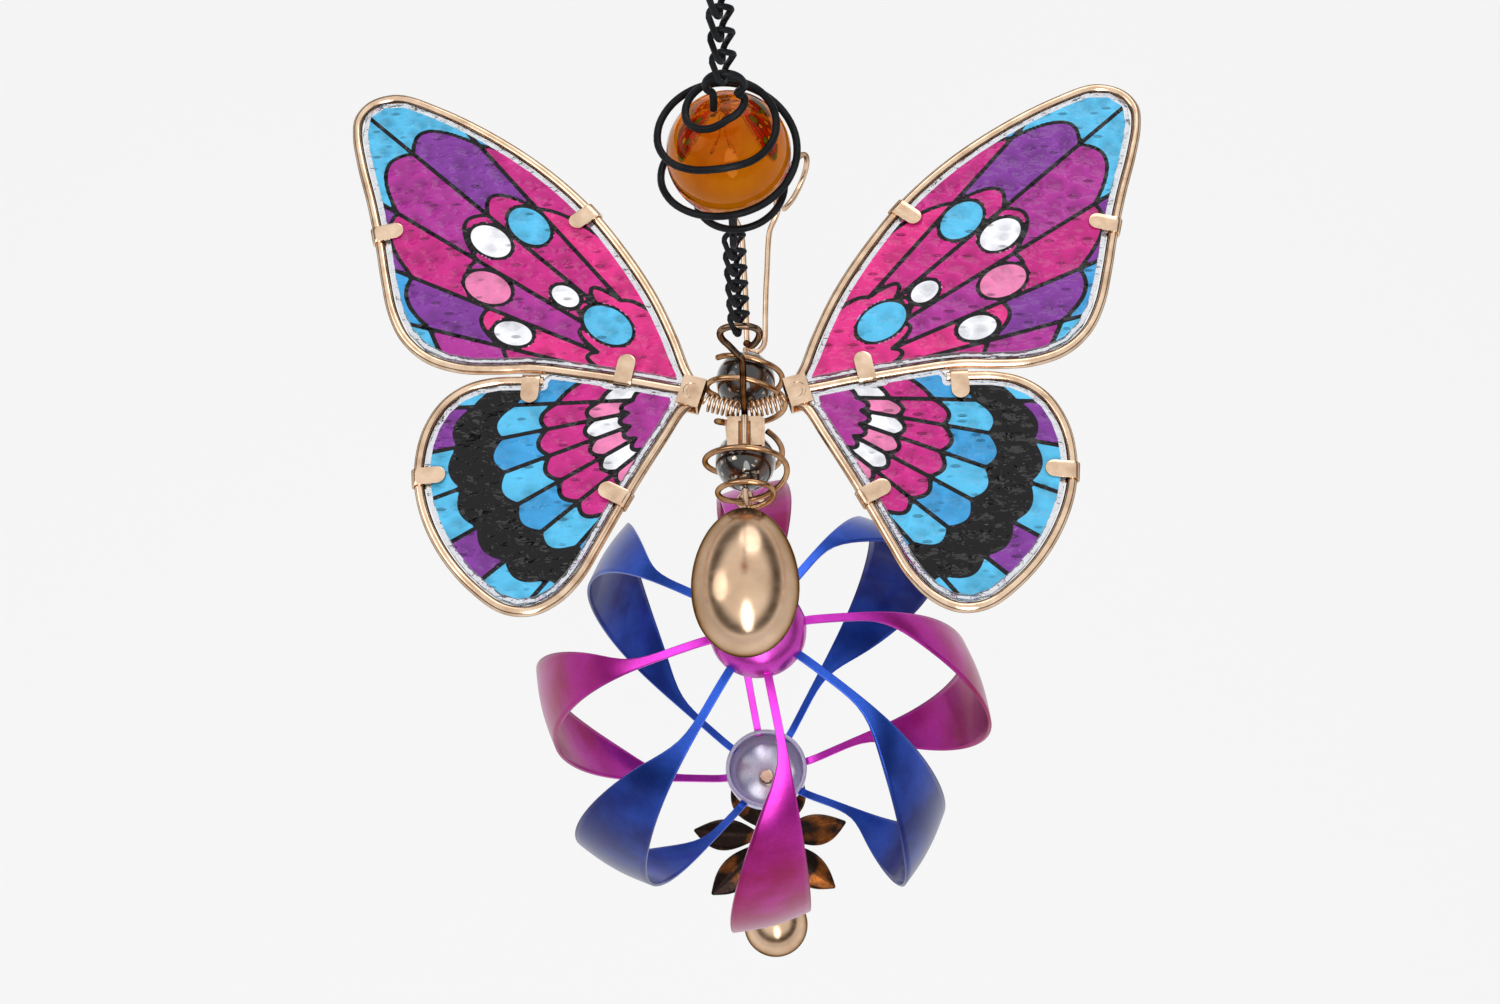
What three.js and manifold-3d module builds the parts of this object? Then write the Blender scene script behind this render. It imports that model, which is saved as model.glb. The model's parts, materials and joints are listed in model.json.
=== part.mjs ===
// Hanging wind spinner: a wire-framed butterfly with sprung wings under a caged
// glass ball, above a globe spinner of eight blades, a leaf flower and a ball.
// Millimetres, +Z up. The origin is where the top hook rests on its nail.
// The butterfly's head points along +Y and its wings reach along X.
import * as THREE from 'three';
import { mergeVertices } from 'three/addons/utils/BufferGeometryUtils.js';
import Module from 'manifold-3d';

const wasm = await Module();
wasm.setup();

// Clearances and counts
const SEAT_GAP = 0.3;
const CUT_OVERRUN = 1;
const WIRE_SIDES = 6;
const ROUND_SEGMENTS = 20;
const SMALL_SEGMENTS = 12;
const BALL_RINGS = 12;
const BEAD_RINGS = 10;

// Top hook, an S of black wire
const HOOK_WIRE_R = 0.9;
const HOOK_CROOK_R = 5.4;
const HOOK_EYE_R = 3.6;
const HOOK_DROP = 22;

// Twisted chain links
const LINK_WIRE_R = 0.6;
const LINK_LENGTH = 8;
const LINK_WIDTH = 4.3;
const LINK_STEPS = 16;
const TOP_LINKS = 5;
const MID_LINKS = 6;

// Glass ball and the wire cage around it
const AMBER_BALL_R = 12.3;
const CAGE_WIRE_R = 0.75;
const CAGE_STEPS_PER_QUARTER = 4;
const CAGE_EYE_RISE = 25.9;
const CAGE_EYE_DROP = 30.5;
const CAGE_EYE_WIDTH = 7.1;

// The cage's winding by quarter turns: distance from the axis and height above the
// ball's middle, as shares of the ball's radius
const CAGE_WINDING_SHARES = [
  [0.30, 1.46], [0.26, 1.27], [0.63, 0.96], [0.80, 0.86], [0.77, 0.80], [0.79, 0.79],
  [1.11, 0.49], [1.01, 0.50], [1.09, 0.16], [1.09, -0.10], [1.11, -0.50], [0.85, -0.71],
  [0.88, -0.93], [0.72, -1.08], [0.55, -1.15], [0.28, -1.26],
];

// Hanger rod with its teardrop loop
const ROD_WIRE_R = 0.8;
const LOOP_HEIGHT = 13;
const LOOP_WIDTH = 9;
const HANGER_LENGTH = 42.9;

// Butterfly wings
const WING_REACH = 100;
const WING_WIRE_R = 1.25;
const PANEL_THICKNESS = 1.8;
const FOREWING_STEPS = 40;
const HINDWING_STEPS = 30;
const TAB_WIDTH = 4.4;
const TAB_REACH = 6.6;
const TAB_UNDER_REACH = 3.2;
const TAB_SHEET = 0.55;

// Points along the right wing's wires, from the bracket's seat, as shares of the
// reach beyond it
const FOREWING_SHARES = [
  [0.006, 0.056], [0.024, 0.093], [0.056, 0.185], [0.118, 0.328], [0.210, 0.483],
  [0.324, 0.638], [0.462, 0.775], [0.622, 0.895], [0.782, 0.987], [0.903, 1.033],
  [0.979, 1.012], [1.014, 0.964], [1.016, 0.901], [0.994, 0.798], [0.954, 0.660],
  [0.920, 0.523], [0.895, 0.403], [0.865, 0.288], [0.822, 0.202], [0.754, 0.139],
  [0.662, 0.106], [0.565, 0.100], [0.462, 0.102], [0.313, 0.081], [0.175, 0.056],
  [0.067, 0.033], [0.001, 0.021],
];
const HINDWING_SHARES = [
  [0.006, -0.013], [0.032, -0.036], [0.079, -0.118], [0.147, -0.239], [0.204, -0.347],
  [0.256, -0.451], [0.301, -0.536], [0.359, -0.602], [0.427, -0.636], [0.502, -0.628],
  [0.588, -0.565], [0.662, -0.479], [0.719, -0.376], [0.750, -0.273], [0.755, -0.176],
  [0.737, -0.084], [0.693, -0.006], [0.631, 0.040], [0.559, 0.059], [0.490, 0.061],
  [0.422, 0.059],
];
const FOREWING_TAB_SHARES = [[0.885, 0.560], [0.315, 0.612], [0.207, 0.064]];
const HINDWING_TAB_SHARES = [[0.456, 0.061], [0.725, -0.243], [0.215, -0.306]];

// Brackets that grip the wing wires
const BRACKET_WIDTH = 5.7;
const BRACKET_LENGTH = 8;
const BRACKET_SHIFT = 1.1;
const BRACKET_SHEET = 0.6;
const BRACKET_SWEEP_DEG = 16;
const BRACKET_CREST_R = 2.1;
const BRACKET_CREST_WIDTH = 0.9;
const BRACKET_CREST_DEPTH = 0.25;

// Wing springs
const SPRING_WIRE_R = 0.36;
const SPRING_COIL_R = 2;
const SPRING_TURNS = 6.5;
const SPRING_PITCH = 1.22;
const SPRING_STEPS_PER_TURN = 8;
const SPRING_SIDES = 5;
const SPRING_FOOT_X = 1.75;
const SPRING_FOOT_Y = 1.2;
const SPRING_LEG = 3;

// Centre clip
const CLIP_WIDTH = 8.4;
const CLIP_HEIGHT = 11;
const CLIP_DEPTH = 3;
const CLIP_DROP = 2.7;
const CLIP_RIB_R = 0.9;
const CLIP_GROOVE_WIDTH = 0.6;
const CLIP_GROOVE_DEPTH = 0.5;
const CLIP_FLANGE = 0.7;
const CLIP_RIB_SEGMENTS = 6;
const CLIP_PLATE = 1.6;
const CLIP_PLATE_LENGTH = 7.8;
const CLIP_WEB = 1.2;

// Body, threaded on a straight rod below the wing plane
const BODY_DROP = 7.6;
const BODY_ROD_R = 0.7;
const BEAD_R = 7.4;
const HEAD_NECK = 5.8;
const BODY_ROD_NOSE = 1.9;
const HEAD_BEAD_Y = HEAD_NECK + BEAD_R;
const THORAX_BEAD_Y = -(CLIP_DEPTH / 2 + SEAT_GAP + BEAD_R);
const BODY_ROD_FRONT_Y = HEAD_BEAD_Y + BEAD_R + BODY_ROD_NOSE;
const EGG_NECK = 5.7;
const EGG_LENGTH = 37.4;
const EGG_DIAMETER = 25.8;
const EGG_TAPER = 0.08;
const EGG_BORE_DEPTH = 7;

// Wire wound round the beads
const WRAP_WIRE_R = 0.72;
const WRAP_STEPS_PER_TURN = 16;
const HEAD_WRAP_TURNS = 2;
const HEAD_WRAP_START_DEG = 150;
const THORAX_WRAP_TURNS = 2.25;
const THORAX_WRAP_START_DEG = 40;

// Windings by quarter turns: place ahead of the bead's middle and winding radius,
// as shares of the bead's radius
const HEAD_WRAP_SHARES = [
  [0.62, 1.07], [0.19, 1.15], [0.07, 1.27], [-0.05, 1.30], [-0.34, 1.30],
  [-0.64, 1.15], [-0.85, 1.38], [-1.07, 1.18], [-1.75, 0.83],
];
const THORAX_WRAP_SHARES = [
  [0.82, 0.95], [0.26, 1.38], [0.09, 1.35], [-0.09, 1.35], [-0.26, 1.46],
  [-0.77, 1.14], [-1.10, 0.92], [-1.16, 0.91], [-1.26, 1.08], [-1.61, 0.24],
];

// Antennae, one wire bent to a hairpin over the rod's front end
const ANTENNA_WIRE_R = 0.7;
const ANTENNA_LAP = 2;
const ANTENNA_OFFSET = 2.65;
const ANTENNA_HALF_GAP = 1.9;
const ANTENNA_LENGTH = 42.3;
const ANTENNA_RISE = 11.6;
const ANTENNA_SPREAD = 7.5;
const ANTENNA_CURL_R = 8.1;
const ANTENNA_CURL_END_SHARE = 0.93;
const ANTENNA_CURL_TURN_DEG = 30;
const ANTENNA_CURL_START_DEG = 205;
const ANTENNA_CURL_STEP_DEG = 30;
const ANTENNA_CURL_STEPS = 11;
const ANTENNA_STEPS = 56;

// Places along a stem: share of its length, of its spread and of its rise
const ANTENNA_STEM_SHARES = [[0.3, 0.07, 0.2], [0.56, 0.15, 0.36], [0.75, 0.23, 0.5]];

// Lower rod and swivel
const LOWER_ROD_LENGTH = 40.3;
const SWIVEL_RING_R = 3.2;
const SWIVEL_WIRE_R = 0.8;
const SWIVEL_BARREL_R = 2.6;
const SWIVEL_BARREL_LENGTH = 8.4;
const SWIVEL_WALL = 1;
const SWIVEL_NECK = 3;
const SWIVEL_HEAD_R = 1.35;

// Globe spinner
const SPINNER_DROP = 143.8;
const SPINNER_HEIGHT = 140.2;
const SPINNER_R = 70.5;
const BLADES = 8;
const BLADE_START_DEG = 11.7;
const BLADE_WIDTH = 27;
const BLADE_SHEET = 0.9;
const BLADE_TILT_DEG = 4;
const BLADE_DISH = 1.6;
const BLADE_FULLNESS = 0.85;
const BLADE_ROWS = 11;
const BLADE_ARM_WIDTH = 2.6;
const HUB_R = 15;
const HUB_WALL = 1.4;
const HUB_SKIRT = 4.4;
const HUB_DOME = 8;
const HUB_SEGMENTS = 24;
const RIVET_HEAD_R = 2.6;
const RIVET_HEAD = 1.6;

// Meridian of a blade from arm to arm, as shares of the spinner's radius and half height
const BLADE_MERIDIAN_SHARES = [
  [0.235, 1], [0.383, 0.947], [0.570, 0.869], [0.780, 0.698], [0.936, 0.412], [1, 0.048],
  [0.929, -0.315], [0.766, -0.586], [0.545, -0.772], [0.383, -0.886], [0.235, -1],
];
const BLADE_LEAF_START_SHARE = 0.147;
const BLADE_LEAF_END_SHARE = 0.845;
const BLADE_ARM_SHARES = [0, 0.018, 0.08];

// Tail: eye, leaf flower and ball
const TAIL_EYE_R = 3.2;
const TAIL_EYE_DROP = 12;
const LEAF_DROP = 89.7;
const LEAVES = 7;
const LEAF_START_DEG = 15.7;
const LEAF_RADIUS = 32;
const LEAF_WIDTH = 14;
const LEAF_SHEET = 0.8;
const LEAF_DROOP = 11;
const LEAF_CURL = 2.6;
const LEAF_FOLD = 3.2;
const LEAF_DISC_R = 7.5;
const LEAF_ROWS = 5;
const BOSS_R = 5.2;
const BOSS_HEIGHT = 8;
const LEAF_ROD_BELOW = 14;
const BALL_DROP = 148.8;
const BOTTOM_BALL_R = 15;
const BALL_COLLAR_R = 3.4;
const BALL_COLLAR = 2.6;

// Finishes
const blackWire = finish(0x23262a, 0.45, 0.6);
const goldWire = finish(0xd8b48c, 0.22, 0.95);
const copperWire = finish(0xb9814f, 0.25, 0.95);
const amberGlass = finish(0xbe6e0a, 0.05, 0.1);
const darkGlass = finish(0x2b2528, 0.05, 0.2);
const champagne = finish(0xd2b48c, 0.12, 1);
const wingGlass = finish(0xb8408c, 0.1, 0.1);
const magentaPaint = finish(0xc83cbe, 0.25, 0.7);
const bluePaint = finish(0x2846be, 0.25, 0.7);
const cupPaint = finish(0xb4a8d8, 0.35, 0.6);
const leafCopper = finish(0x5a3218, 0.3, 0.8);

const UP = new THREE.Vector3(0, 0, 1);
const model = new THREE.Group();

function finish(color, roughness, metalness) {
  return new THREE.MeshStandardMaterial({ color, roughness, metalness });
}

function radians(degrees) {
  return THREE.MathUtils.degToRad(degrees);
}

// Adds one named piece to the model.
function add(name, geometry, material) {
  const mesh = new THREE.Mesh(geometry, material);
  mesh.name = name;
  model.add(mesh);
  return mesh;
}

// Turns a closed geometry into a solid for joining and cutting.
function toSolid(geometry) {
  const bare = geometry.clone();
  bare.deleteAttribute('normal');
  bare.deleteAttribute('uv');
  const merged = mergeVertices(bare);
  return new wasm.Manifold(new wasm.Mesh({
    numProp: 3,
    vertProperties: new Float32Array(merged.attributes.position.array),
    triVerts: new Uint32Array(merged.index.array),
  }));
}

// Turns a solid back into a geometry.
function toGeometry(solid) {
  const mesh = solid.getMesh();
  const geometry = new THREE.BufferGeometry();
  geometry.setAttribute('position', new THREE.BufferAttribute(new Float32Array(mesh.vertProperties), 3));
  geometry.setIndex(new THREE.BufferAttribute(new Uint32Array(mesh.triVerts), 1));
  return geometry;
}

// Joins closed geometries into one.
function join(...geometries) {
  return toGeometry(geometries.map(toSolid).reduce((a, b) => a.add(b)));
}

// Takes the later geometries out of the first.
function cut(base, ...tools) {
  return toGeometry(tools.map(toSolid).reduce((a, b) => a.subtract(b), toSolid(base)));
}

// Closed rings of equal point counts become one skin, capped at both ends
// or joined end to end.
function skinRings(rings, endless = false) {
  const count = rings[0].length;
  const positions = rings.flat().flatMap((point) => [point.x, point.y, point.z]);
  const index = [];
  const bands = endless ? rings.length : rings.length - 1;
  for (let i = 0; i < bands; i += 1) {
    const here = i * count;
    const next = ((i + 1) % rings.length) * count;
    for (let j = 0; j < count; j += 1) {
      const k = (j + 1) % count;
      index.push(here + j, here + k, next + k, here + j, next + k, next + j);
    }
  }
  if (!endless) {
    const last = (rings.length - 1) * count;
    for (let j = 1; j < count - 1; j += 1) {
      index.push(0, j + 1, j, last, last + j, last + j + 1);
    }
  }
  const geometry = new THREE.BufferGeometry();
  geometry.setAttribute('position', new THREE.Float32BufferAttribute(positions, 3));
  geometry.setIndex(index);
  return geometry;
}

// A round tube through points, its section carried along without twisting.
function tubeThrough(points, radius, sides, endless = false) {
  const count = points.length;
  const tangents = points.map((point, i) => {
    const before = endless ? points[(i + count - 1) % count] : points[Math.max(i - 1, 0)];
    const after = endless ? points[(i + 1) % count] : points[Math.min(i + 1, count - 1)];
    return after.clone().sub(before).normalize();
  });
  const seed = Math.abs(tangents[0].z) < 0.9 ? UP : new THREE.Vector3(1, 0, 0);
  let normal = seed.clone().cross(tangents[0]).normalize();
  const normals = [normal];
  for (let i = 1; i < count; i += 1) {
    normal = normal.clone().addScaledVector(tangents[i], -normal.dot(tangents[i])).normalize();
    normals.push(normal);
  }
  let closing = 0;
  if (endless) {
    const carried = normal.clone().addScaledVector(tangents[0], -normal.dot(tangents[0])).normalize();
    const side = tangents[0].clone().cross(carried);
    closing = Math.atan2(normals[0].dot(side), normals[0].dot(carried));
  }
  const rings = points.map((point, i) => {
    const across = normals[i].clone().applyAxisAngle(tangents[i], closing * i / count);
    const side = tangents[i].clone().cross(across);
    return Array.from({ length: sides }, (_, j) => {
      const angle = 2 * Math.PI * j / sides;
      return point.clone()
        .addScaledVector(across, radius * Math.cos(angle))
        .addScaledVector(side, radius * Math.sin(angle));
    });
  });
  return skinRings(rings, endless);
}

// A round wire swept along a curve.
function wireAlong(curve, radius, steps, sides = WIRE_SIDES) {
  const section = new THREE.Shape(Array.from({ length: sides }, (_, j) => {
    const angle = 2 * Math.PI * j / sides;
    return new THREE.Vector2(radius * Math.cos(angle), radius * Math.sin(angle));
  }));
  return new THREE.ExtrudeGeometry(section, { steps, extrudePath: curve, bevelEnabled: false });
}

// A smooth curve through points.
function smooth(points) {
  return new THREE.CatmullRomCurve3(points, false, 'centripetal');
}

// A turned solid about the vertical, from radius and height pairs.
function turned(profile, segments = ROUND_SEGMENTS) {
  const points = profile.map(([r, z]) => new THREE.Vector2(r, z));
  return new THREE.LatheGeometry(points, segments).rotateX(Math.PI / 2);
}

// A turned solid about the body's axis, from radius and place pairs along +Y.
function turnedAlongBody(profile, segments = ROUND_SEGMENTS) {
  const points = profile.map(([r, y]) => new THREE.Vector2(r, y));
  return new THREE.LatheGeometry(points, segments);
}

// A plain cylinder standing on a height.
function post(radius, bottomZ, topZ, segments = SMALL_SEGMENTS) {
  return turned([[0, bottomZ], [radius, bottomZ], [radius, topZ], [0, topZ]], segments);
}

// A box from its middle and its sizes.
function block(x, y, z, sizeX, sizeY, sizeZ) {
  return new THREE.BoxGeometry(sizeX, sizeY, sizeZ).translate(x, y, z);
}

// Smallest distance between turns of a wire, less the wire itself.
function leastGap(points, radius, skip) {
  let least = Infinity;
  for (let i = 0; i < points.length; i += 1) {
    for (let j = i + skip; j < points.length; j += 1) {
      least = Math.min(least, points[i].distanceTo(points[j]));
    }
  }
  return least - 2 * radius;
}

// Height of the top wire of a piece that hangs on a wire at the given height.
function hungOn(wireZ, wireR, ownR) {
  return wireZ + wireR + ownR + SEAT_GAP;
}

// Top hook: an open crook above and an eye below, the two at a quarter turn.
function buildHook() {
  const crookZ = HOOK_WIRE_R - HOOK_CROOK_R;
  const eyeZ = -HOOK_DROP + HOOK_EYE_R;
  const points = [];
  for (let degrees = 200; degrees >= -60; degrees -= 20) {
    const angle = radians(degrees);
    points.push(new THREE.Vector3(0, HOOK_CROOK_R * Math.cos(angle), crookZ + HOOK_CROOK_R * Math.sin(angle)));
  }
  for (let degrees = 110; degrees <= 420; degrees += 24) {
    const angle = radians(degrees);
    points.push(new THREE.Vector3(0, HOOK_EYE_R * Math.cos(angle), eyeZ + HOOK_EYE_R * Math.sin(angle)));
  }
  add('top_hook', tubeThrough(points, HOOK_WIRE_R, WIRE_SIDES), blackWire);
}

// One twisted link: a racetrack loop whose lower end is a quarter turn from its upper end.
function linkGeometry(topZ) {
  const halfWidth = LINK_WIDTH / 2;
  const halfLength = LINK_LENGTH / 2;
  const straight = halfLength - halfWidth;
  const perimeter = 4 * straight + 2 * Math.PI * halfWidth;
  const points = [];
  for (let i = 0; i < LINK_STEPS; i += 1) {
    const s = perimeter * (i + 0.5) / LINK_STEPS;
    let across = 0;
    let along = 0;
    if (s < 2 * straight) {
      across = halfWidth;
      along = s - straight;
    } else if (s < 2 * straight + Math.PI * halfWidth) {
      const angle = (s - 2 * straight) / halfWidth;
      across = halfWidth * Math.cos(angle);
      along = straight + halfWidth * Math.sin(angle);
    } else if (s < 4 * straight + Math.PI * halfWidth) {
      across = -halfWidth;
      along = straight - (s - 2 * straight - Math.PI * halfWidth);
    } else {
      const angle = (s - 4 * straight - Math.PI * halfWidth) / halfWidth;
      across = -halfWidth * Math.cos(angle);
      along = -straight - halfWidth * Math.sin(angle);
    }
    const twist = (1 - along / halfLength) * Math.PI / 4;
    const z = topZ - halfLength + along;
    points.push(new THREE.Vector3(across * Math.cos(twist), across * Math.sin(twist), z));
  }
  return tubeThrough(points, LINK_WIRE_R, WIRE_SIDES, true);
}

// A chain of links below a wire; returns the height of its lowest wire.
function buildChain(prefix, count, wireZ, wireR) {
  let hangZ = wireZ;
  let hangR = wireR;
  for (let i = 1; i <= count; i += 1) {
    const topZ = hungOn(hangZ, hangR, LINK_WIRE_R);
    add(`${prefix}_${i}`, linkGeometry(topZ), blackWire);
    hangZ = topZ - LINK_LENGTH;
    hangR = LINK_WIRE_R;
  }
  return hangZ;
}

// Ball cage: an eye, a winding that goes down round the ball clockwise, and an
// eye below at a quarter turn from the first.
function buildCage(topZ) {
  const ballZ = topZ - CAGE_EYE_RISE;
  const windR = AMBER_BALL_R + CAGE_WIRE_R + SEAT_GAP;
  const run = smooth(CAGE_WINDING_SHARES.map(([out, up]) => (
    new THREE.Vector3(out * AMBER_BALL_R, 0, up * AMBER_BALL_R)
  )));
  const quarters = CAGE_WINDING_SHARES.length - 1;
  const steps = quarters * CAGE_STEPS_PER_QUARTER;
  const winding = [];
  for (let i = 0; i <= steps; i += 1) {
    const place = run.getPoint(i / steps);
    place.setLength(Math.max(place.length(), windR));
    place.applyAxisAngle(UP, -Math.PI / 2 * i / CAGE_STEPS_PER_QUARTER);
    winding.push(place.setZ(place.z + ballZ));
  }
  const eye = (side, reach, across) => {
    const crownZ = ballZ + side * (reach - CAGE_EYE_WIDTH / 2);
    const ring = [];
    for (let degrees = -50; degrees <= 230; degrees += 28) {
      const angle = radians(degrees);
      const offset = CAGE_EYE_WIDTH / 2 * Math.cos(angle);
      const height = crownZ + side * CAGE_EYE_WIDTH / 2 * Math.sin(angle);
      ring.push(across.clone().multiplyScalar(offset).setZ(height));
    }
    const tailZ = ballZ + side * (windR + 2 * CAGE_WIRE_R);
    const tail = across.clone().multiplyScalar(-CAGE_EYE_WIDTH / 3).setZ(tailZ);
    return { ring, tail };
  };
  const top = eye(1, CAGE_EYE_RISE, new THREE.Vector3(1, 0, 0));
  const low = eye(-1, CAGE_EYE_DROP, new THREE.Vector3(0, 1, 0));
  const points = [top.tail, ...top.ring.slice().reverse(), ...winding, ...low.ring, low.tail];
  add('ball_cage', tubeThrough(smooth(points).getPoints(points.length), CAGE_WIRE_R, WIRE_SIDES), blackWire);
  const gap = leastGap(winding, CAGE_WIRE_R, 2 * CAGE_STEPS_PER_QUARTER);
  console.log(`ball_cage least gap ${gap.toFixed(2)} mm`);
  const ball = new THREE.SphereGeometry(AMBER_BALL_R, ROUND_SEGMENTS, BALL_RINGS);
  add('amber_ball', ball.rotateX(Math.PI / 2).translate(0, 0, ballZ), amberGlass);
  return ballZ - CAGE_EYE_DROP;
}

// Points of a hanging loop in the XZ plane: a teardrop whose point runs into a stem.
function teardropPoints(topZ, width, height, side) {
  const r = width / 2;
  const shares = [
    [0.10, -0.93], [-0.55, -0.70], [-0.96, -0.38], [-0.92, -0.13], [-0.5, -0.01], [0, 0],
    [0.5, -0.01], [0.92, -0.13], [0.96, -0.38], [0.60, -0.68], [0.28, -0.86],
  ];
  return shares.map(([x, z]) => new THREE.Vector3(r * x, 0, topZ + side * height * z));
}

// Hanger rod: teardrop loop, a small set to the middle, then a straight stem.
function buildHanger(topZ, clipTopZ) {
  const loop = teardropPoints(topZ, LOOP_WIDTH, LOOP_HEIGHT, 1);
  const last = loop.pop();
  loop.shift();
  const stemTopZ = topZ - LOOP_HEIGHT - 2 * ROD_WIRE_R;
  const points = [
    new THREE.Vector3(last.x, 2 * ROD_WIRE_R + SEAT_GAP, last.z),
    ...loop.reverse(),
    new THREE.Vector3(-ROD_WIRE_R, 0, topZ - LOOP_HEIGHT),
    new THREE.Vector3(0, 0, stemTopZ),
    new THREE.Vector3(0, 0, (stemTopZ + clipTopZ) / 2),
    new THREE.Vector3(0, 0, clipTopZ - SPRING_LEG),
  ];
  const line = smooth(points).getPoints(2 * points.length);
  add('hanger_rod', tubeThrough(line, ROD_WIRE_R, WIRE_SIDES), goldWire);
}

// A point of the wing plane from its shares, for the right side (1) or the left (-1).
function wingPoint([x, y], seat, side) {
  const span = WING_REACH - side * seat.x;
  return seat.clone().add(new THREE.Vector3(side * x * span, y * span, 0));
}

// Outline of a wing wire in the wing plane, from the bracket's seat.
function wingCurve(shares, seat, side) {
  return smooth(shares.map((share) => wingPoint(share, seat, side)));
}

// The middle of a wing wire's outline.
function curveMiddle(curve) {
  const points = curve.getSpacedPoints(FOREWING_STEPS);
  return points.reduce((sum, point) => sum.add(point), new THREE.Vector3()).divideScalar(points.length);
}

// The curve's parameter nearest to a point.
function nearestOn(curve, target) {
  const samples = 400;
  let best = 0;
  for (let i = 0; i <= samples; i += 1) {
    if (curve.getPointAt(i / samples).distanceTo(target) < curve.getPointAt(best).distanceTo(target)) {
      best = i / samples;
    }
  }
  return best;
}

// Where a tab stands: on the wire, its +X towards the pane.
function tabPlace(curve, target) {
  const at = nearestOn(curve, target);
  const point = curve.getPointAt(at);
  const tangent = curve.getTangentAt(at);
  const inward = curveMiddle(curve).sub(point);
  inward.addScaledVector(tangent, -inward.dot(tangent)).normalize();
  return new THREE.Matrix4().makeRotationZ(Math.atan2(inward.y, inward.x)).setPosition(point);
}

// A folded tab round the wire, its long leg on the pane with a rounded end.
function tabGeometry(place) {
  const legZ = PANEL_THICKNESS / 2 + SEAT_GAP;
  const outerZ = legZ + TAB_SHEET;
  const outerR = WING_WIRE_R + TAB_SHEET;
  const profile = new THREE.Shape();
  profile.moveTo(TAB_REACH, legZ);
  profile.lineTo(TAB_REACH, outerZ);
  profile.lineTo(0, outerZ);
  for (let i = 1; i < 6; i += 1) {
    const angle = Math.PI / 2 + Math.PI * i / 6;
    profile.lineTo(outerR * Math.cos(angle), outerZ * Math.sin(angle));
  }
  profile.lineTo(0, -outerZ);
  profile.lineTo(TAB_UNDER_REACH, -outerZ);
  profile.lineTo(TAB_UNDER_REACH, -legZ);
  profile.lineTo(0, -legZ);
  profile.lineTo(0, legZ);
  const folded = new THREE.ExtrudeGeometry(profile, { depth: TAB_WIDTH, bevelEnabled: false });
  folded.translate(0, 0, -TAB_WIDTH / 2).rotateX(Math.PI / 2);
  const plan = new THREE.Shape();
  plan.moveTo(-outerR - CUT_OVERRUN, -TAB_WIDTH / 2 - CUT_OVERRUN);
  plan.lineTo(TAB_REACH - TAB_WIDTH / 2, -TAB_WIDTH / 2 - CUT_OVERRUN);
  plan.lineTo(TAB_REACH - TAB_WIDTH / 2, -TAB_WIDTH / 2);
  for (let i = 1; i < 8; i += 1) {
    const angle = -Math.PI / 2 + Math.PI * i / 8;
    plan.lineTo(TAB_REACH - TAB_WIDTH / 2 + TAB_WIDTH / 2 * Math.cos(angle), TAB_WIDTH / 2 * Math.sin(angle));
  }
  plan.lineTo(TAB_REACH - TAB_WIDTH / 2, TAB_WIDTH / 2);
  plan.lineTo(TAB_REACH - TAB_WIDTH / 2, TAB_WIDTH / 2 + CUT_OVERRUN);
  plan.lineTo(-outerR - CUT_OVERRUN, TAB_WIDTH / 2 + CUT_OVERRUN);
  const stamp = new THREE.ExtrudeGeometry(plan, { depth: 2 * (outerZ + CUT_OVERRUN), bevelEnabled: false });
  stamp.translate(0, 0, -outerZ - CUT_OVERRUN);
  return toGeometry(toSolid(folded).intersect(toSolid(stamp))).applyMatrix4(place);
}

// The room a tab's fold takes on the far side of its wire.
function tabNotch(place) {
  const reach = WING_WIRE_R + TAB_SHEET + SEAT_GAP;
  return block(-reach / 2, 0, 0, reach, TAB_WIDTH + 2 * SEAT_GAP, 2 * reach).applyMatrix4(place);
}

// A wing's wire with its three folded tabs.
function buildFrame(name, curve, steps, places) {
  add(name, join(wireAlong(curve, WING_WIRE_R, steps), ...places.map(tabGeometry)), goldWire);
}

// A flat band along points, as wide on each side as given, for cutting a pane
// clear of its wire.
function bandAlong(points, half, height) {
  const rings = points.map((point, i) => {
    const before = points[Math.max(i - 1, 0)];
    const after = points[Math.min(i + 1, points.length - 1)];
    const across = new THREE.Vector3(before.y - after.y, after.x - before.x, 0).setLength(half);
    return [[1, -1], [1, 1], [-1, 1], [-1, -1]].map(([a, b]) => (
      point.clone().addScaledVector(across, a).addScaledVector(UP, b * height)
    ));
  });
  return skinRings(rings);
}

// A pane set inside its wires: the outline less a band along each wire and the
// rooms of the tabs and the bracket.
function buildPanel(name, outline, wires, rooms, z) {
  const shape = new THREE.Shape(outline.map((point) => new THREE.Vector2(point.x, point.y)));
  const pane = new THREE.ExtrudeGeometry(shape, { depth: PANEL_THICKNESS, bevelEnabled: false });
  const bands = wires.map((wire) => bandAlong(wire, WING_WIRE_R + SEAT_GAP, PANEL_THICKNESS));
  const cleared = cut(pane.translate(0, 0, z - PANEL_THICKNESS / 2), ...bands, ...rooms);
  const rest = toSolid(cleared).decompose();
  add(name, toGeometry(rest.reduce((a, b) => (a.volume() > b.volume() ? a : b))), wingGlass);
}

// Where a bracket stands: its +X along the spring's axis, its middle on the axis.
function bracketPlace({ end, axis }) {
  return new THREE.Matrix4().makeBasis(axis, UP.clone().cross(axis), UP).setPosition(end);
}

// Where a wire's end lies against the inside of the bracket's fold.
function bracketSeat({ end, axis }) {
  return end.clone().addScaledVector(axis, BRACKET_SHEET + SEAT_GAP + WING_WIRE_R);
}

// The room a bracket takes in the wing plane.
function bracketRoom(place, side) {
  const room = block(
    BRACKET_WIDTH / 2, side * BRACKET_SHIFT, 0,
    BRACKET_WIDTH + 2 * SEAT_GAP, BRACKET_LENGTH + 2 * SEAT_GAP, BRACKET_LENGTH,
  );
  return room.applyMatrix4(place);
}

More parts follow.
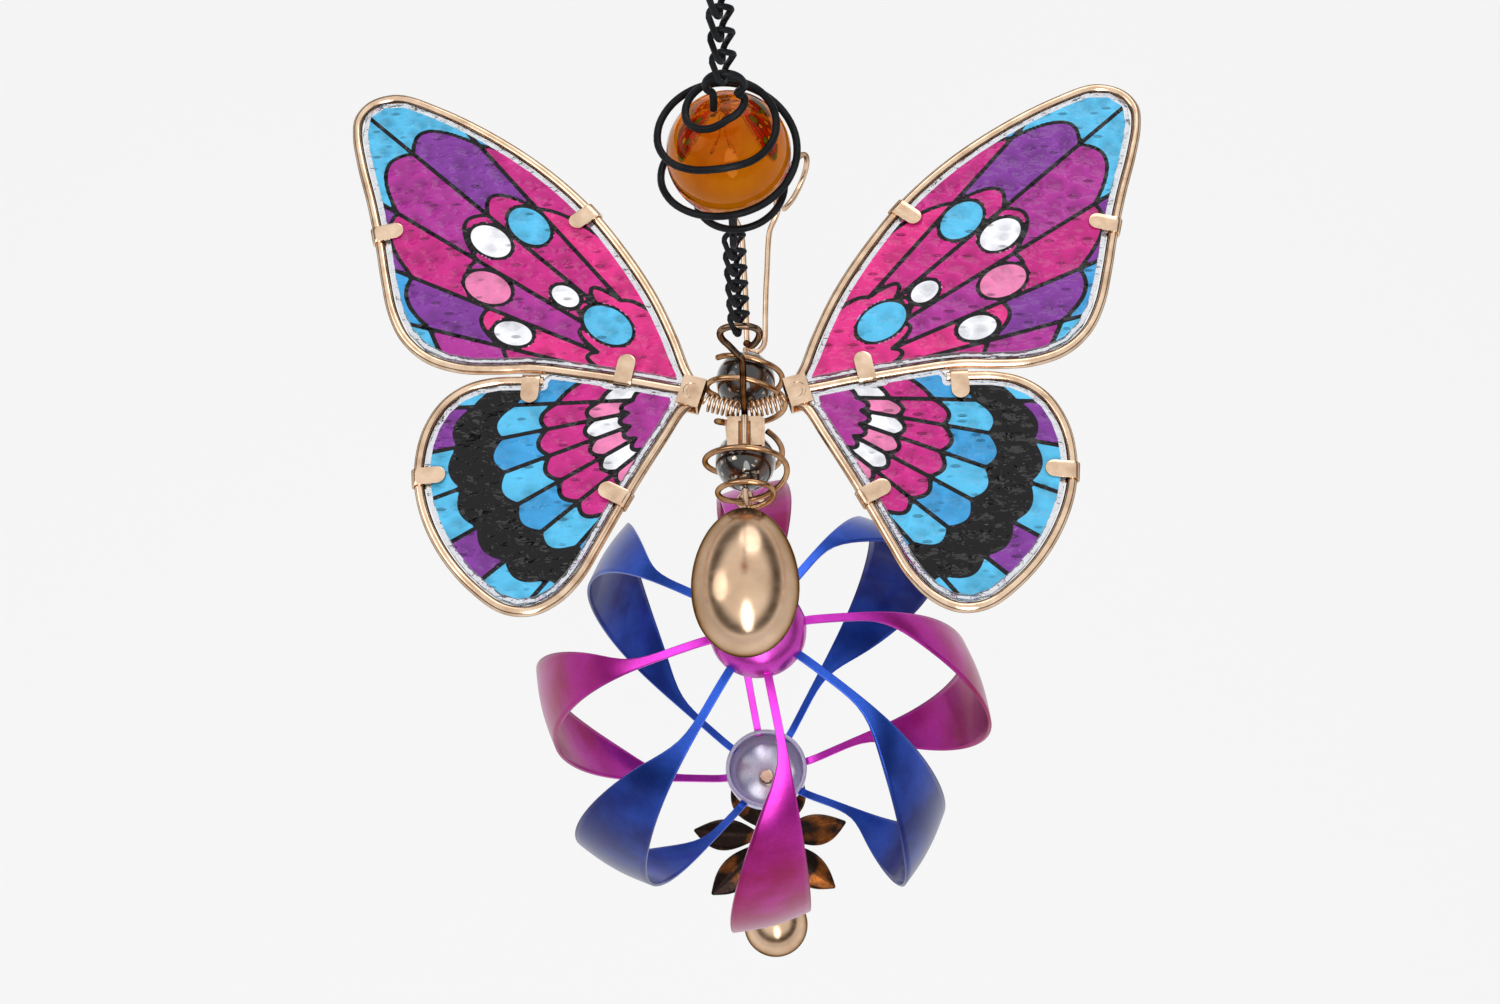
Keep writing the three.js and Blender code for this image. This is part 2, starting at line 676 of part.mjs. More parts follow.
// A bracket: a sheet folded round the wire ends, with a pressed crest on top. It
// reaches further to the front than to the back of the spring.
function buildBracket(name, place, side) {
  const slot = 2 * (WING_WIRE_R + SEAT_GAP);
  const height = slot + 2 * BRACKET_SHEET;
  const shift = side * BRACKET_SHIFT;
  const body = block(BRACKET_WIDTH / 2, shift, 0, BRACKET_WIDTH, BRACKET_LENGTH, height);
  const hollow = block(
    BRACKET_SHEET + (BRACKET_WIDTH + CUT_OVERRUN) / 2, shift, 0,
    BRACKET_WIDTH + CUT_OVERRUN, BRACKET_LENGTH + 2 * CUT_OVERRUN, slot,
  );
  const boreR = SPRING_WIRE_R + SEAT_GAP;
  const bore = post(boreR, -CUT_OVERRUN, BRACKET_SHEET + CUT_OVERRUN, WIRE_SIDES).rotateY(Math.PI / 2);
  const crestLowZ = height / 2 - BRACKET_CREST_DEPTH;
  const crestX = BRACKET_WIDTH / 2 + BRACKET_CREST_WIDTH - BRACKET_CREST_R / 2;
  const disc = post(BRACKET_CREST_R, crestLowZ, height / 2 + CUT_OVERRUN).translate(crestX, shift, 0);
  const offset = post(BRACKET_CREST_R, 0, height).translate(crestX - BRACKET_CREST_WIDTH, shift, 0);
  const press = cut(disc, offset);
  const plate = cut(body, hollow, bore, press);
  add(name, plate.applyMatrix4(place), goldWire);
}

// A wing spring: a straight foot down into the clip, a coil, and a straight tail
// into the bracket. Returns where its tail meets the bracket.
function buildSpring(name, side, z) {
  const sweep = radians(BRACKET_SWEEP_DEG);
  const axis = new THREE.Vector3(side * Math.cos(sweep), Math.sin(sweep), 0);
  const level = new THREE.Vector3(-side * Math.sin(sweep), Math.cos(sweep), 0);
  const start = new THREE.Vector3(side * SPRING_FOOT_X, SPRING_FOOT_Y, z);
  const points = [];
  const foot = start.clone().addScaledVector(UP, -SPRING_COIL_R);
  points.push(foot.clone().addScaledVector(UP, -SPRING_LEG));
  points.push(foot.clone().addScaledVector(UP, -SPRING_WIRE_R));
  const steps = SPRING_TURNS * SPRING_STEPS_PER_TURN;
  const coil = [];
  for (let i = 1; i <= steps; i += 1) {
    const angle = 2 * Math.PI * i / SPRING_STEPS_PER_TURN;
    coil.push(start.clone()
      .addScaledVector(axis, SPRING_PITCH * i / SPRING_STEPS_PER_TURN)
      .addScaledVector(UP, -SPRING_COIL_R * Math.cos(angle))
      .addScaledVector(level, SPRING_COIL_R * Math.sin(angle)));
  }
  const coilEnd = start.clone().addScaledVector(axis, SPRING_PITCH * SPRING_TURNS);
  const tail = coilEnd.clone().addScaledVector(axis, SPRING_COIL_R / 2);
  points.push(...coil, coilEnd.clone()
    .addScaledVector(axis, SPRING_PITCH / 2)
    .addScaledVector(UP, SPRING_COIL_R / 2)
    .addScaledVector(level, -SPRING_COIL_R / 2));
  points.push(tail, tail.clone().addScaledVector(axis, BRACKET_SHEET + SPRING_COIL_R));
  add(name, tubeThrough(points, SPRING_WIRE_R, SPRING_SIDES), copperWire);
  console.log(`${name} least gap ${leastGap(coil, SPRING_WIRE_R, SPRING_STEPS_PER_TURN / 2).toFixed(2)} mm`);
  return { end: tail.clone().addScaledVector(axis, SEAT_GAP), axis, foot };
}

// Section of the centre clip: two halves with a half-round rib and grooves between
// them, the right half ending in a thin flange.
function clipPlan(depth) {
  const left = -CLIP_WIDTH / 2;
  const front = -depth / 2;
  const plan = new THREE.Shape();
  plan.moveTo(left, -front);
  plan.lineTo(left, front);
  plan.lineTo(-CLIP_RIB_R - CLIP_GROOVE_WIDTH, front);
  plan.lineTo(-CLIP_RIB_R, front + CLIP_GROOVE_DEPTH);
  plan.absarc(0, front, CLIP_RIB_R, Math.PI, 2 * Math.PI, false);
  plan.lineTo(CLIP_RIB_R, front + CLIP_GROOVE_DEPTH);
  plan.lineTo(CLIP_RIB_R + CLIP_GROOVE_WIDTH, front);
  plan.lineTo(-left, front);
  plan.lineTo(-left, 0);
  plan.lineTo(CLIP_FLANGE - left, 0);
  plan.lineTo(CLIP_FLANGE - left, CLIP_FLANGE);
  plan.lineTo(-left, CLIP_FLANGE);
  plan.lineTo(-left, -front);
  return plan;
}

// A run of the clip's section.
function clipRun(depth, length) {
  return new THREE.ExtrudeGeometry(clipPlan(depth), {
    depth: length, bevelEnabled: false, curveSegments: CLIP_RIB_SEGMENTS,
  });
}

// The centre clip: a folded block with its rib to the front, bored for the rods and
// the spring feet, and a plate bent up behind the springs and back over the bead.
function buildClip(topZ, bodyZ, feet) {
  const upright = clipRun(CLIP_DEPTH, CLIP_HEIGHT).rotateZ(Math.PI).translate(0, 0, topZ - CLIP_HEIGHT);
  const bendY = SPRING_FOOT_Y - SPRING_COIL_R - SPRING_WIRE_R - SEAT_GAP;
  const plateLowZ = bodyZ + BEAD_R + SEAT_GAP;
  const plate = clipRun(CLIP_PLATE, CLIP_PLATE_LENGTH).rotateX(-Math.PI / 2)
    .translate(0, bendY - CLIP_PLATE_LENGTH, plateLowZ + CLIP_PLATE / 2);
  const webLowZ = topZ - CLIP_WEB / 2;
  const webTopZ = plateLowZ + CLIP_PLATE;
  const web = block(
    0, bendY - CLIP_WEB / 2, (webLowZ + webTopZ) / 2, CLIP_WIDTH, CLIP_WEB, webTopZ - webLowZ,
  );
  const body = join(upright, plate, web);
  const lowZ = topZ - CLIP_HEIGHT;
  const rodBoreR = ROD_WIRE_R + SEAT_GAP / 2;
  const rodHole = post(rodBoreR, topZ - SPRING_LEG - SEAT_GAP, topZ + CUT_OVERRUN, WIRE_SIDES);
  const lowerHole = post(rodBoreR, lowZ - CUT_OVERRUN, lowZ + SPRING_LEG + SEAT_GAP, WIRE_SIDES);
  const bodyBoreR = BODY_ROD_R + SEAT_GAP / 2;
  const bodyHole = turnedAlongBody([
    [0, -CLIP_DEPTH], [bodyBoreR, -CLIP_DEPTH], [bodyBoreR, CLIP_DEPTH], [0, CLIP_DEPTH],
  ], WIRE_SIDES).translate(0, 0, bodyZ);
  const footHoles = feet.map((foot) => block(
    foot.x, foot.y + CLIP_DEPTH / 2, topZ,
    2 * (SPRING_WIRE_R + SEAT_GAP), CLIP_DEPTH + 2 * (SPRING_WIRE_R + SEAT_GAP), 2 * (SPRING_LEG + SEAT_GAP),
  ));
  add('centre_clip', cut(body, rodHole, lowerHole, bodyHole, ...footHoles), goldWire);
}

// A bead bored for the body rod.
function buildBead(name, y, z) {
  const boreR = BODY_ROD_R + SEAT_GAP / 2;
  const mouth = Math.sqrt(BEAD_R ** 2 - boreR ** 2);
  const start = Math.asin(boreR / BEAD_R);
  const profile = [[boreR, -mouth]];
  for (let i = 0; i <= BEAD_RINGS; i += 1) {
    const polar = start + (Math.PI - 2 * start) * i / BEAD_RINGS;
    profile.push([BEAD_R * Math.sin(polar), -BEAD_R * Math.cos(polar)]);
  }
  profile[1] = profile[0];
  profile.shift();
  profile.push(profile[0]);
  add(name, turnedAlongBody(profile).translate(0, y, z), darkGlass);
}

// The egg-shaped abdomen, a little fuller behind, with a blind hole for the rod.
function buildEgg(z) {
  const half = EGG_LENGTH / 2;
  const boreR = BODY_ROD_R + SEAT_GAP / 2;
  const frontY = THORAX_BEAD_Y - BEAD_R - EGG_NECK;
  const middleY = frontY - half;
  const profile = [[0, frontY - EGG_BORE_DEPTH], [boreR, frontY - EGG_BORE_DEPTH]];
  const rings = BALL_RINGS + 2;
  const start = Math.asin(2 * boreR / EGG_DIAMETER);
  for (let i = 0; i <= rings; i += 1) {
    const polar = start + (Math.PI - start) * i / rings;
    const along = Math.cos(polar);
    const radius = i === 0 ? boreR : EGG_DIAMETER / 2 * Math.sin(polar) * (1 - EGG_TAPER * along);
    profile.push([i === rings ? 0 : radius, middleY + half * along]);
  }
  add('abdomen_egg', turnedAlongBody(profile.reverse()).translate(0, 0, z), champagne);
  return frontY - EGG_BORE_DEPTH + SEAT_GAP;
}

// Wire wound round a bead, by places and radii along the winding.
function buildWrap(name, beadY, turns, startDeg, shares, z) {
  const steps = turns * WRAP_STEPS_PER_TURN;
  const run = smooth(shares.map(([along, out]) => (
    new THREE.Vector3(out * BEAD_R, beadY + along * BEAD_R, 0)
  )));
  const points = [];
  for (let i = 0; i <= steps; i += 1) {
    const angle = radians(startDeg) - 2 * Math.PI * i / WRAP_STEPS_PER_TURN;
    const { x: radius, y } = run.getPoint(i / steps);
    points.push(new THREE.Vector3(radius * Math.cos(angle), y, z + radius * Math.sin(angle)));
  }
  add(name, tubeThrough(points, WRAP_WIRE_R, WIRE_SIDES), copperWire);
  console.log(`${name} least gap ${leastGap(points, WRAP_WIRE_R, WRAP_STEPS_PER_TURN / 2).toFixed(2)} mm`);
}

// Antennae: curl, stem, hairpin bend, stem, curl; each stem meets its curl behind
// and the wire goes on over the top.
function buildAntennae(bodyZ) {
  const z = bodyZ + BODY_ROD_R + ANTENNA_WIRE_R + SEAT_GAP;
  const bendY = BODY_ROD_FRONT_Y - ANTENNA_LAP;
  const turn = radians(ANTENNA_CURL_TURN_DEG);
  const half = (side) => {
    const rootX = ANTENNA_OFFSET + side * ANTENNA_HALF_GAP;
    const along = ([length, spread, rise]) => new THREE.Vector3(
      rootX + side * ANTENNA_SPREAD * spread, bendY + ANTENNA_LENGTH * length, z + ANTENNA_RISE * rise,
    );
    const forward = new THREE.Vector3(side * Math.sin(turn), Math.cos(turn), 0);
    const root = new THREE.Vector3(rootX, bendY + ANTENNA_HALF_GAP, z);
    const stem = [root, ...ANTENNA_STEM_SHARES.map(along)];
    const centre = along([1, 1, 1]);
    for (let i = 0; i <= ANTENNA_CURL_STEPS; i += 1) {
      const angle = radians(ANTENNA_CURL_START_DEG - ANTENNA_CURL_STEP_DEG * i);
      const radius = ANTENNA_CURL_R * (1 - (1 - ANTENNA_CURL_END_SHARE) * i / ANTENNA_CURL_STEPS);
      stem.push(centre.clone()
        .addScaledVector(forward, radius * Math.cos(angle))
        .addScaledVector(UP, radius * Math.sin(angle)));
    }
    return stem;
  };
  const points = [...half(-1).reverse(), new THREE.Vector3(ANTENNA_OFFSET, bendY, z), ...half(1)];
  add('antennae', tubeThrough(smooth(points).getPoints(ANTENNA_STEPS), ANTENNA_WIRE_R, WIRE_SIDES), goldWire);
}

// A ring of wire with a straight stem, the ring in the XZ plane turned about the vertical.
function eyeWithStem(ringTopZ, ringR, wireR, stemEndZ, turnDeg, stemAbove = false) {
  const points = [];
  const side = stemAbove ? -1 : 1;
  const ringZ = ringTopZ - side * ringR;
  for (let degrees = 260; degrees >= -40; degrees -= 30) {
    const angle = radians(degrees);
    points.push(new THREE.Vector3(ringR * Math.cos(angle), 0, ringZ + side * ringR * Math.sin(angle)));
  }
  points.push(new THREE.Vector3(0, 0, ringZ - side * (ringR + 3 * wireR)));
  points.push(new THREE.Vector3(0, 0, stemEndZ));
  points[0].y = 2 * wireR + SEAT_GAP;
  points[1].y = wireR;
  points.forEach((point) => point.applyAxisAngle(UP, radians(turnDeg)));
  return tubeThrough(points, wireR, WIRE_SIDES);
}

// Lower rod, swivel barrel and swivel eye; returns the height of the lowest wire.
function buildSwivel(clipBottomZ) {
  const lowZ = clipBottomZ - LOWER_ROD_LENGTH;
  add('lower_rod', eyeWithStem(lowZ, SWIVEL_RING_R, ROD_WIRE_R, clipBottomZ + SPRING_LEG, 0, true), goldWire);
  const ringTopZ = hungOn(lowZ, ROD_WIRE_R, SWIVEL_WIRE_R);
  const barrelTopZ = ringTopZ - 2 * SWIVEL_RING_R - 3 * SWIVEL_WIRE_R;
  const barrelLowZ = barrelTopZ - SWIVEL_BARREL_LENGTH;
  const upperEye = eyeWithStem(ringTopZ, SWIVEL_RING_R, SWIVEL_WIRE_R, barrelTopZ - SWIVEL_WALL / 2, 90);
  const boreR = SWIVEL_WIRE_R + SEAT_GAP / 2;
  const chamberR = SWIVEL_HEAD_R + SEAT_GAP;
  const barrel = turned([
    [0, barrelTopZ - SWIVEL_WALL], [chamberR, barrelTopZ - SWIVEL_WALL - chamberR / 2],
    [chamberR, barrelLowZ + SWIVEL_WALL], [boreR, barrelLowZ + SWIVEL_WALL / 2],
    [boreR, barrelLowZ], [SWIVEL_BARREL_R * 0.7, barrelLowZ],
    [SWIVEL_BARREL_R, barrelLowZ + SWIVEL_WALL], [SWIVEL_BARREL_R, barrelTopZ - SWIVEL_WALL],
    [SWIVEL_BARREL_R * 0.6, barrelTopZ], [0, barrelTopZ],
  ], SMALL_SEGMENTS);
  add('swivel_barrel', join(barrel, upperEye), goldWire);
  const headZ = barrelLowZ + SWIVEL_WALL + SEAT_GAP;
  const eyeLowZ = barrelLowZ - SWIVEL_NECK - 2 * SWIVEL_RING_R;
  const lowerEye = eyeWithStem(eyeLowZ, SWIVEL_RING_R, SWIVEL_WIRE_R, headZ + SWIVEL_HEAD_R, 0, true);
  const head = post(SWIVEL_HEAD_R, headZ, headZ + SWIVEL_HEAD_R);
  add('swivel_eye', join(lowerEye, head), goldWire);
  return eyeLowZ;
}

// One hub shell, open below; the same form turned over makes the cup.
function hubShell(rimZ, side, dome) {
  const crown = HUB_SKIRT + dome;
  const outer = [[HUB_R, 0], [HUB_R, HUB_SKIRT]];
  const inner = [[HUB_R - HUB_WALL, 0], [HUB_R - HUB_WALL, HUB_SKIRT]];
  const arcs = 4;
  for (let i = 1; i <= arcs; i += 1) {
    const angle = Math.PI / 2 * i / arcs;
    outer.push([HUB_R * Math.cos(angle), HUB_SKIRT + dome * Math.sin(angle)]);
    inner.push([(HUB_R - HUB_WALL) * Math.cos(angle), HUB_SKIRT + (dome - HUB_WALL) * Math.sin(angle)]);
  }
  const boreR = ROD_WIRE_R + SEAT_GAP;
  outer[outer.length - 1] = [boreR, crown];
  inner[inner.length - 1] = [boreR, crown - HUB_WALL];
  const ring = [...inner.reverse(), ...outer];
  ring.push(ring[0]);
  const profile = ring.map(([r, h]) => [r, rimZ + side * h]);
  return turned(side > 0 ? profile : profile.reverse(), HUB_SEGMENTS);
}

// The meridian of a blade in radius and height.
function bladeMeridian(middleZ) {
  const half = SPINNER_HEIGHT / 2;
  const shares = BLADE_MERIDIAN_SHARES;
  const rootR = HUB_R - HUB_WALL - SEAT_GAP;
  const points = [new THREE.Vector3(rootR, 0, middleZ + half)];
  points.push(...shares.map(([r, z]) => new THREE.Vector3(r * SPINNER_R, 0, middleZ + z * half)));
  points.push(new THREE.Vector3(rootR, 0, middleZ - half));
  return smooth(points);
}

// One blade: a bent leaf of sheet whose leading edge lies on the meridian and whose
// other edge swells clockwise, with a narrow arm at each end.
function bladeGeometry(meridian) {
  const tilt = radians(BLADE_TILT_DEG);
  const leaf = BLADE_LEAF_END_SHARE - BLADE_LEAF_START_SHARE;
  const arm = BLADE_ARM_WIDTH / 2;
  const across = 3;
  const rings = [];
  const rows = Array.from({ length: BLADE_ROWS + 1 }, (_, i) => BLADE_LEAF_START_SHARE + leaf * i / BLADE_ROWS);
  const lowerArm = BLADE_ARM_SHARES.map((share) => 1 - share).reverse();
  for (const share of [...BLADE_ARM_SHARES, ...rows, ...lowerArm]) {
    const swell = THREE.MathUtils.clamp((share - BLADE_LEAF_START_SHARE) / leaf, 0, 1);
    const width = BLADE_ARM_WIDTH + (BLADE_WIDTH - BLADE_ARM_WIDTH) * Math.sin(Math.PI * swell) ** BLADE_FULLNESS;
    const point = meridian.getPointAt(share);
    const tangent = meridian.getTangentAt(share);
    const outward = new THREE.Vector3(-tangent.z, 0, tangent.x);
    if (outward.x * point.x + outward.z * (point.z - meridian.getPointAt(1 / 2).z) < 0) outward.negate();
    const top = [];
    const under = [];
    for (let j = 0; j <= across; j += 1) {
      const t = j / across;
      const offset = arm - width * t;
      const bulge = BLADE_DISH * 4 * t * (1 - t) * (width - BLADE_ARM_WIDTH) / BLADE_WIDTH;
      const lift = (arm - offset) * Math.sin(tilt) * (width / BLADE_WIDTH) + bulge;
      const place = point.clone().addScaledVector(outward, lift);
      place.y = offset;
      top.push(place.clone().addScaledVector(outward, BLADE_SHEET / 2));
      under.push(place.clone().addScaledVector(outward, -BLADE_SHEET / 2));
    }
    rings.push([...top, ...under.reverse()]);
  }
  return skinRings(rings);
}

// Globe spinner: stem, hubs and blades.
function buildSpinner(hangZ, hangR, topArmZ) {
  const middleZ = topArmZ - SPINNER_HEIGHT / 2;
  const lowArmZ = topArmZ - SPINNER_HEIGHT;
  const slotHeight = BLADE_SHEET + 2 * SEAT_GAP;
  const slotWidth = BLADE_ARM_WIDTH + 2 * SEAT_GAP;
  const rimTopZ = topArmZ - HUB_SKIRT / 2;
  const rimLowZ = lowArmZ + HUB_SKIRT / 2;
  const slots = (z) => Array.from({ length: BLADES }, (_, k) => block(
    HUB_R, 0, z, 4 * HUB_WALL, slotWidth, slotHeight,
  ).rotateZ(radians(BLADE_START_DEG) + 2 * Math.PI * k / BLADES));
  add('top_hub', cut(hubShell(rimTopZ, 1, HUB_DOME), ...slots(topArmZ)), magentaPaint);
  add('bottom_hub', cut(hubShell(rimLowZ, -1, HUB_DOME), ...slots(lowArmZ)), cupPaint);
  const crownUnderZ = rimTopZ + HUB_SKIRT + HUB_DOME - HUB_WALL;
  const stemTopZ = hungOn(hangZ, hangR, ROD_WIRE_R);
  const headTopZ = crownUnderZ - SEAT_GAP;
  const stem = eyeWithStem(stemTopZ, SWIVEL_RING_R, ROD_WIRE_R, headTopZ - RIVET_HEAD / 2, 90);
  const stemHead = post(RIVET_HEAD_R, headTopZ - RIVET_HEAD, headTopZ);
  add('spinner_stem', join(stem, stemHead), goldWire);
  const floorZ = rimLowZ - HUB_SKIRT - HUB_DOME + HUB_WALL;
  const headLowZ = floorZ + SEAT_GAP;
  const eyeLowZ = rimLowZ - HUB_SKIRT - HUB_DOME - TAIL_EYE_DROP;
  const tail = eyeWithStem(eyeLowZ, TAIL_EYE_R, ROD_WIRE_R, headLowZ + RIVET_HEAD / 2, 0, true);
  const tailHead = post(RIVET_HEAD_R, headLowZ, headLowZ + RIVET_HEAD);
  add('tail_eye', join(tail, tailHead), goldWire);
  const meridian = bladeMeridian(middleZ);
  for (let k = 0; k < BLADES; k += 1) {
    const blade = bladeGeometry(meridian).rotateZ(radians(BLADE_START_DEG) + 2 * Math.PI * k / BLADES);
    add(`blade_${k + 1}`, blade, k % 2 === 0 ? magentaPaint : bluePaint);
  }
  return { eyeLowZ, lowArmZ };
}

// One pressed leaf along +X: pointed, drooping, folded along its rib, tip curled up.
function leafGeometry(z) {
  const rings = [];
  for (let i = 0; i <= LEAF_ROWS; i += 1) {
    const t = i / LEAF_ROWS;
    const x = LEAF_DISC_R / 2 + (LEAF_RADIUS - LEAF_DISC_R / 2) * t;
    const half = LEAF_WIDTH / 2 * Math.max(Math.sin(Math.PI * t ** 1.15) ** 0.8, LEAF_SHEET / LEAF_WIDTH);
    const droop = z - LEAF_DROOP * t ** 1.4 + LEAF_CURL * t ** 6;
    const side = droop - LEAF_FOLD * half / LEAF_WIDTH * 2;
    const upper = [[half, side], [0, droop], [-half, side]];
    const top = upper.map(([y, h]) => new THREE.Vector3(x, y, h + LEAF_SHEET / 2));
    const under = upper.map(([y, h]) => new THREE.Vector3(x, y, h - LEAF_SHEET / 2));
    rings.push([...top, ...under.reverse()]);
  }
  return skinRings(rings);
}

// Tail: the leaf rod with its flower and boss, then the ball on its rod.
function buildTail(hangZ, leafZ) {
  const rodTopZ = hungOn(hangZ, ROD_WIRE_R, ROD_WIRE_R);
  const rodLowZ = leafZ - LEAF_ROD_BELOW;
  const boreR = ROD_WIRE_R + SEAT_GAP;
  const stopZ = leafZ - LEAF_SHEET / 2 - SEAT_GAP;
  const stop = post(RIVET_HEAD_R, stopZ - RIVET_HEAD, stopZ);
  const upper = eyeWithStem(rodTopZ, TAIL_EYE_R, ROD_WIRE_R, stopZ - RIVET_HEAD / 2, 90);
  const lower = eyeWithStem(rodLowZ, TAIL_EYE_R, ROD_WIRE_R, stopZ - RIVET_HEAD / 2, 0, true);
  add('leaf_rod', join(upper, lower, stop), goldWire);
  const disc = post(LEAF_DISC_R, leafZ - LEAF_SHEET / 2, leafZ + LEAF_SHEET / 2);
  const leaves = Array.from({ length: LEAVES }, (_, k) => (
    leafGeometry(leafZ).rotateZ(radians(LEAF_START_DEG) + 2 * Math.PI * k / LEAVES)
  ));
  const hole = post(boreR, leafZ - LEAF_DROOP, leafZ + LEAF_DROOP, WIRE_SIDES);
  add('leaf_flower', cut(join(disc, ...leaves), hole), leafCopper);
  const bossLowZ = leafZ + LEAF_SHEET / 2 + SEAT_GAP;
  const boss = turned([
    [boreR, bossLowZ], [BOSS_R, bossLowZ], [BOSS_R * 0.92, bossLowZ + BOSS_HEIGHT * 0.3],
    [BOSS_R * 0.6, bossLowZ + BOSS_HEIGHT * 0.7], [boreR * 1.6, bossLowZ + BOSS_HEIGHT],
    [boreR, bossLowZ + BOSS_HEIGHT], [boreR, bossLowZ],
  ], SMALL_SEGMENTS);
  add('leaf_boss', boss, leafCopper);
  const ballRodTopZ = hungOn(rodLowZ, ROD_WIRE_R, ROD_WIRE_R);
  const ballZ = leafZ - BALL_DROP;
  const collarZ = ballZ + BOTTOM_BALL_R;
  const ballRod = eyeWithStem(ballRodTopZ, TAIL_EYE_R, ROD_WIRE_R, ballZ, 90);
  const collar = post(BALL_COLLAR_R, collarZ, collarZ + BALL_COLLAR);
  add('ball_rod', join(ballRod, collar), goldWire);
  const ball = new THREE.SphereGeometry(BOTTOM_BALL_R, ROUND_SEGMENTS, BALL_RINGS).rotateX(Math.PI / 2);
  const socket = post(boreR, -SEAT_GAP, BOTTOM_BALL_R + CUT_OVERRUN, WIRE_SIDES);
  add('bottom_ball', cut(ball, socket).translate(0, 0, ballZ), champagne);
}

// The whole hanging, from the hook down.
buildHook();
const topChainZ = buildChain('top_link', TOP_LINKS, -HOOK_DROP, HOOK_WIRE_R);
const cageTopZ = hungOn(topChainZ, LINK_WIRE_R, CAGE_WIRE_R);
const cageLowZ = buildCage(cageTopZ);
const midChainZ = buildChain('mid_link', MID_LINKS, cageLowZ, CAGE_WIRE_R);
const loopTopZ = hungOn(midChainZ, LINK_WIRE_R, ROD_WIRE_R);
const wingZ = loopTopZ - HANGER_LENGTH;
const bodyZ = wingZ - BODY_DROP;
const clipTopZ = wingZ - CLIP_DROP;
buildHanger(loopTopZ, clipTopZ);
const feet = [];
for (const [side, word] of [[1, 'right'], [-1, 'left']]) {
  const spring = buildSpring(`spring_${word}`, side, wingZ);
  feet.push(spring.foot);
  const place = bracketPlace(spring);
  buildBracket(`bracket_${word}`, place, side);
  const seat = bracketSeat(spring);
  const fore = wingCurve(FOREWING_SHARES, seat, side);
  const hind = wingCurve(HINDWING_SHARES, seat, side);
  const forePlaces = FOREWING_TAB_SHARES.map((share) => tabPlace(fore, wingPoint(share, seat, side)));
  const hindPlaces = HINDWING_TAB_SHARES.map((share) => tabPlace(hind, wingPoint(share, seat, side)));
  buildFrame(`forewing_frame_${word}`, fore, FOREWING_STEPS, forePlaces);
  buildFrame(`hindwing_frame_${word}`, hind, HINDWING_STEPS, hindPlaces);
  const forePoints = fore.getSpacedPoints(FOREWING_STEPS);
  const hindPoints = hind.getSpacedPoints(HINDWING_STEPS);
  const wires = [forePoints, hindPoints];
  const hindEndX = Math.abs(hindPoints.at(-1).x);
  const lowerEdge = forePoints.slice(FOREWING_STEPS / 2).filter((point) => Math.abs(point.x) < hindEndX);
  const rooms = [...[...forePlaces, ...hindPlaces].map(tabNotch), bracketRoom(place, side)];
  buildPanel(`forewing_panel_${word}`, forePoints, wires, rooms, wingZ);
  buildPanel(`hindwing_panel_${word}`, [...hindPoints, ...lowerEdge], wires, rooms, wingZ);
}
buildClip(clipTopZ, bodyZ, feet);
buildBead('head_bead', HEAD_BEAD_Y, bodyZ);
buildBead('thorax_bead', THORAX_BEAD_Y, bodyZ);
const rodBackY = buildEgg(bodyZ);
add('body_rod', turnedAlongBody([
  [0, rodBackY], [BODY_ROD_R, rodBackY], [BODY_ROD_R, BODY_ROD_FRONT_Y], [0, BODY_ROD_FRONT_Y],
], WIRE_SIDES).translate(0, 0, bodyZ), goldWire);
buildWrap('head_wire', HEAD_BEAD_Y, HEAD_WRAP_TURNS, HEAD_WRAP_START_DEG, HEAD_WRAP_SHARES, bodyZ);
buildWrap('thorax_wire', THORAX_BEAD_Y, THORAX_WRAP_TURNS, THORAX_WRAP_START_DEG, THORAX_WRAP_SHARES, bodyZ);
buildAntennae(bodyZ);
const swivelLowZ = buildSwivel(clipTopZ - CLIP_HEIGHT);
const spinner = buildSpinner(swivelLowZ, SWIVEL_WIRE_R, wingZ - SPINNER_DROP);
buildTail(spinner.eyeLowZ, spinner.lowArmZ - LEAF_DROP);

export default model;
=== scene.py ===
"""Looks for a hanging wind spinner: a wire-framed butterfly under a caged ball, above a globe spinner.

Everything is in metres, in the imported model's own frame. The wires and coils are swept
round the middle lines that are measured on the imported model, the links round their own.
"""

import json
import logging
import math
from collections.abc import Callable
from dataclasses import dataclass
from enum import Enum

import bmesh
import bpy
import numpy as np
from mathutils import Matrix, Vector
from mathutils.geometry import delaunay_2d_cdt

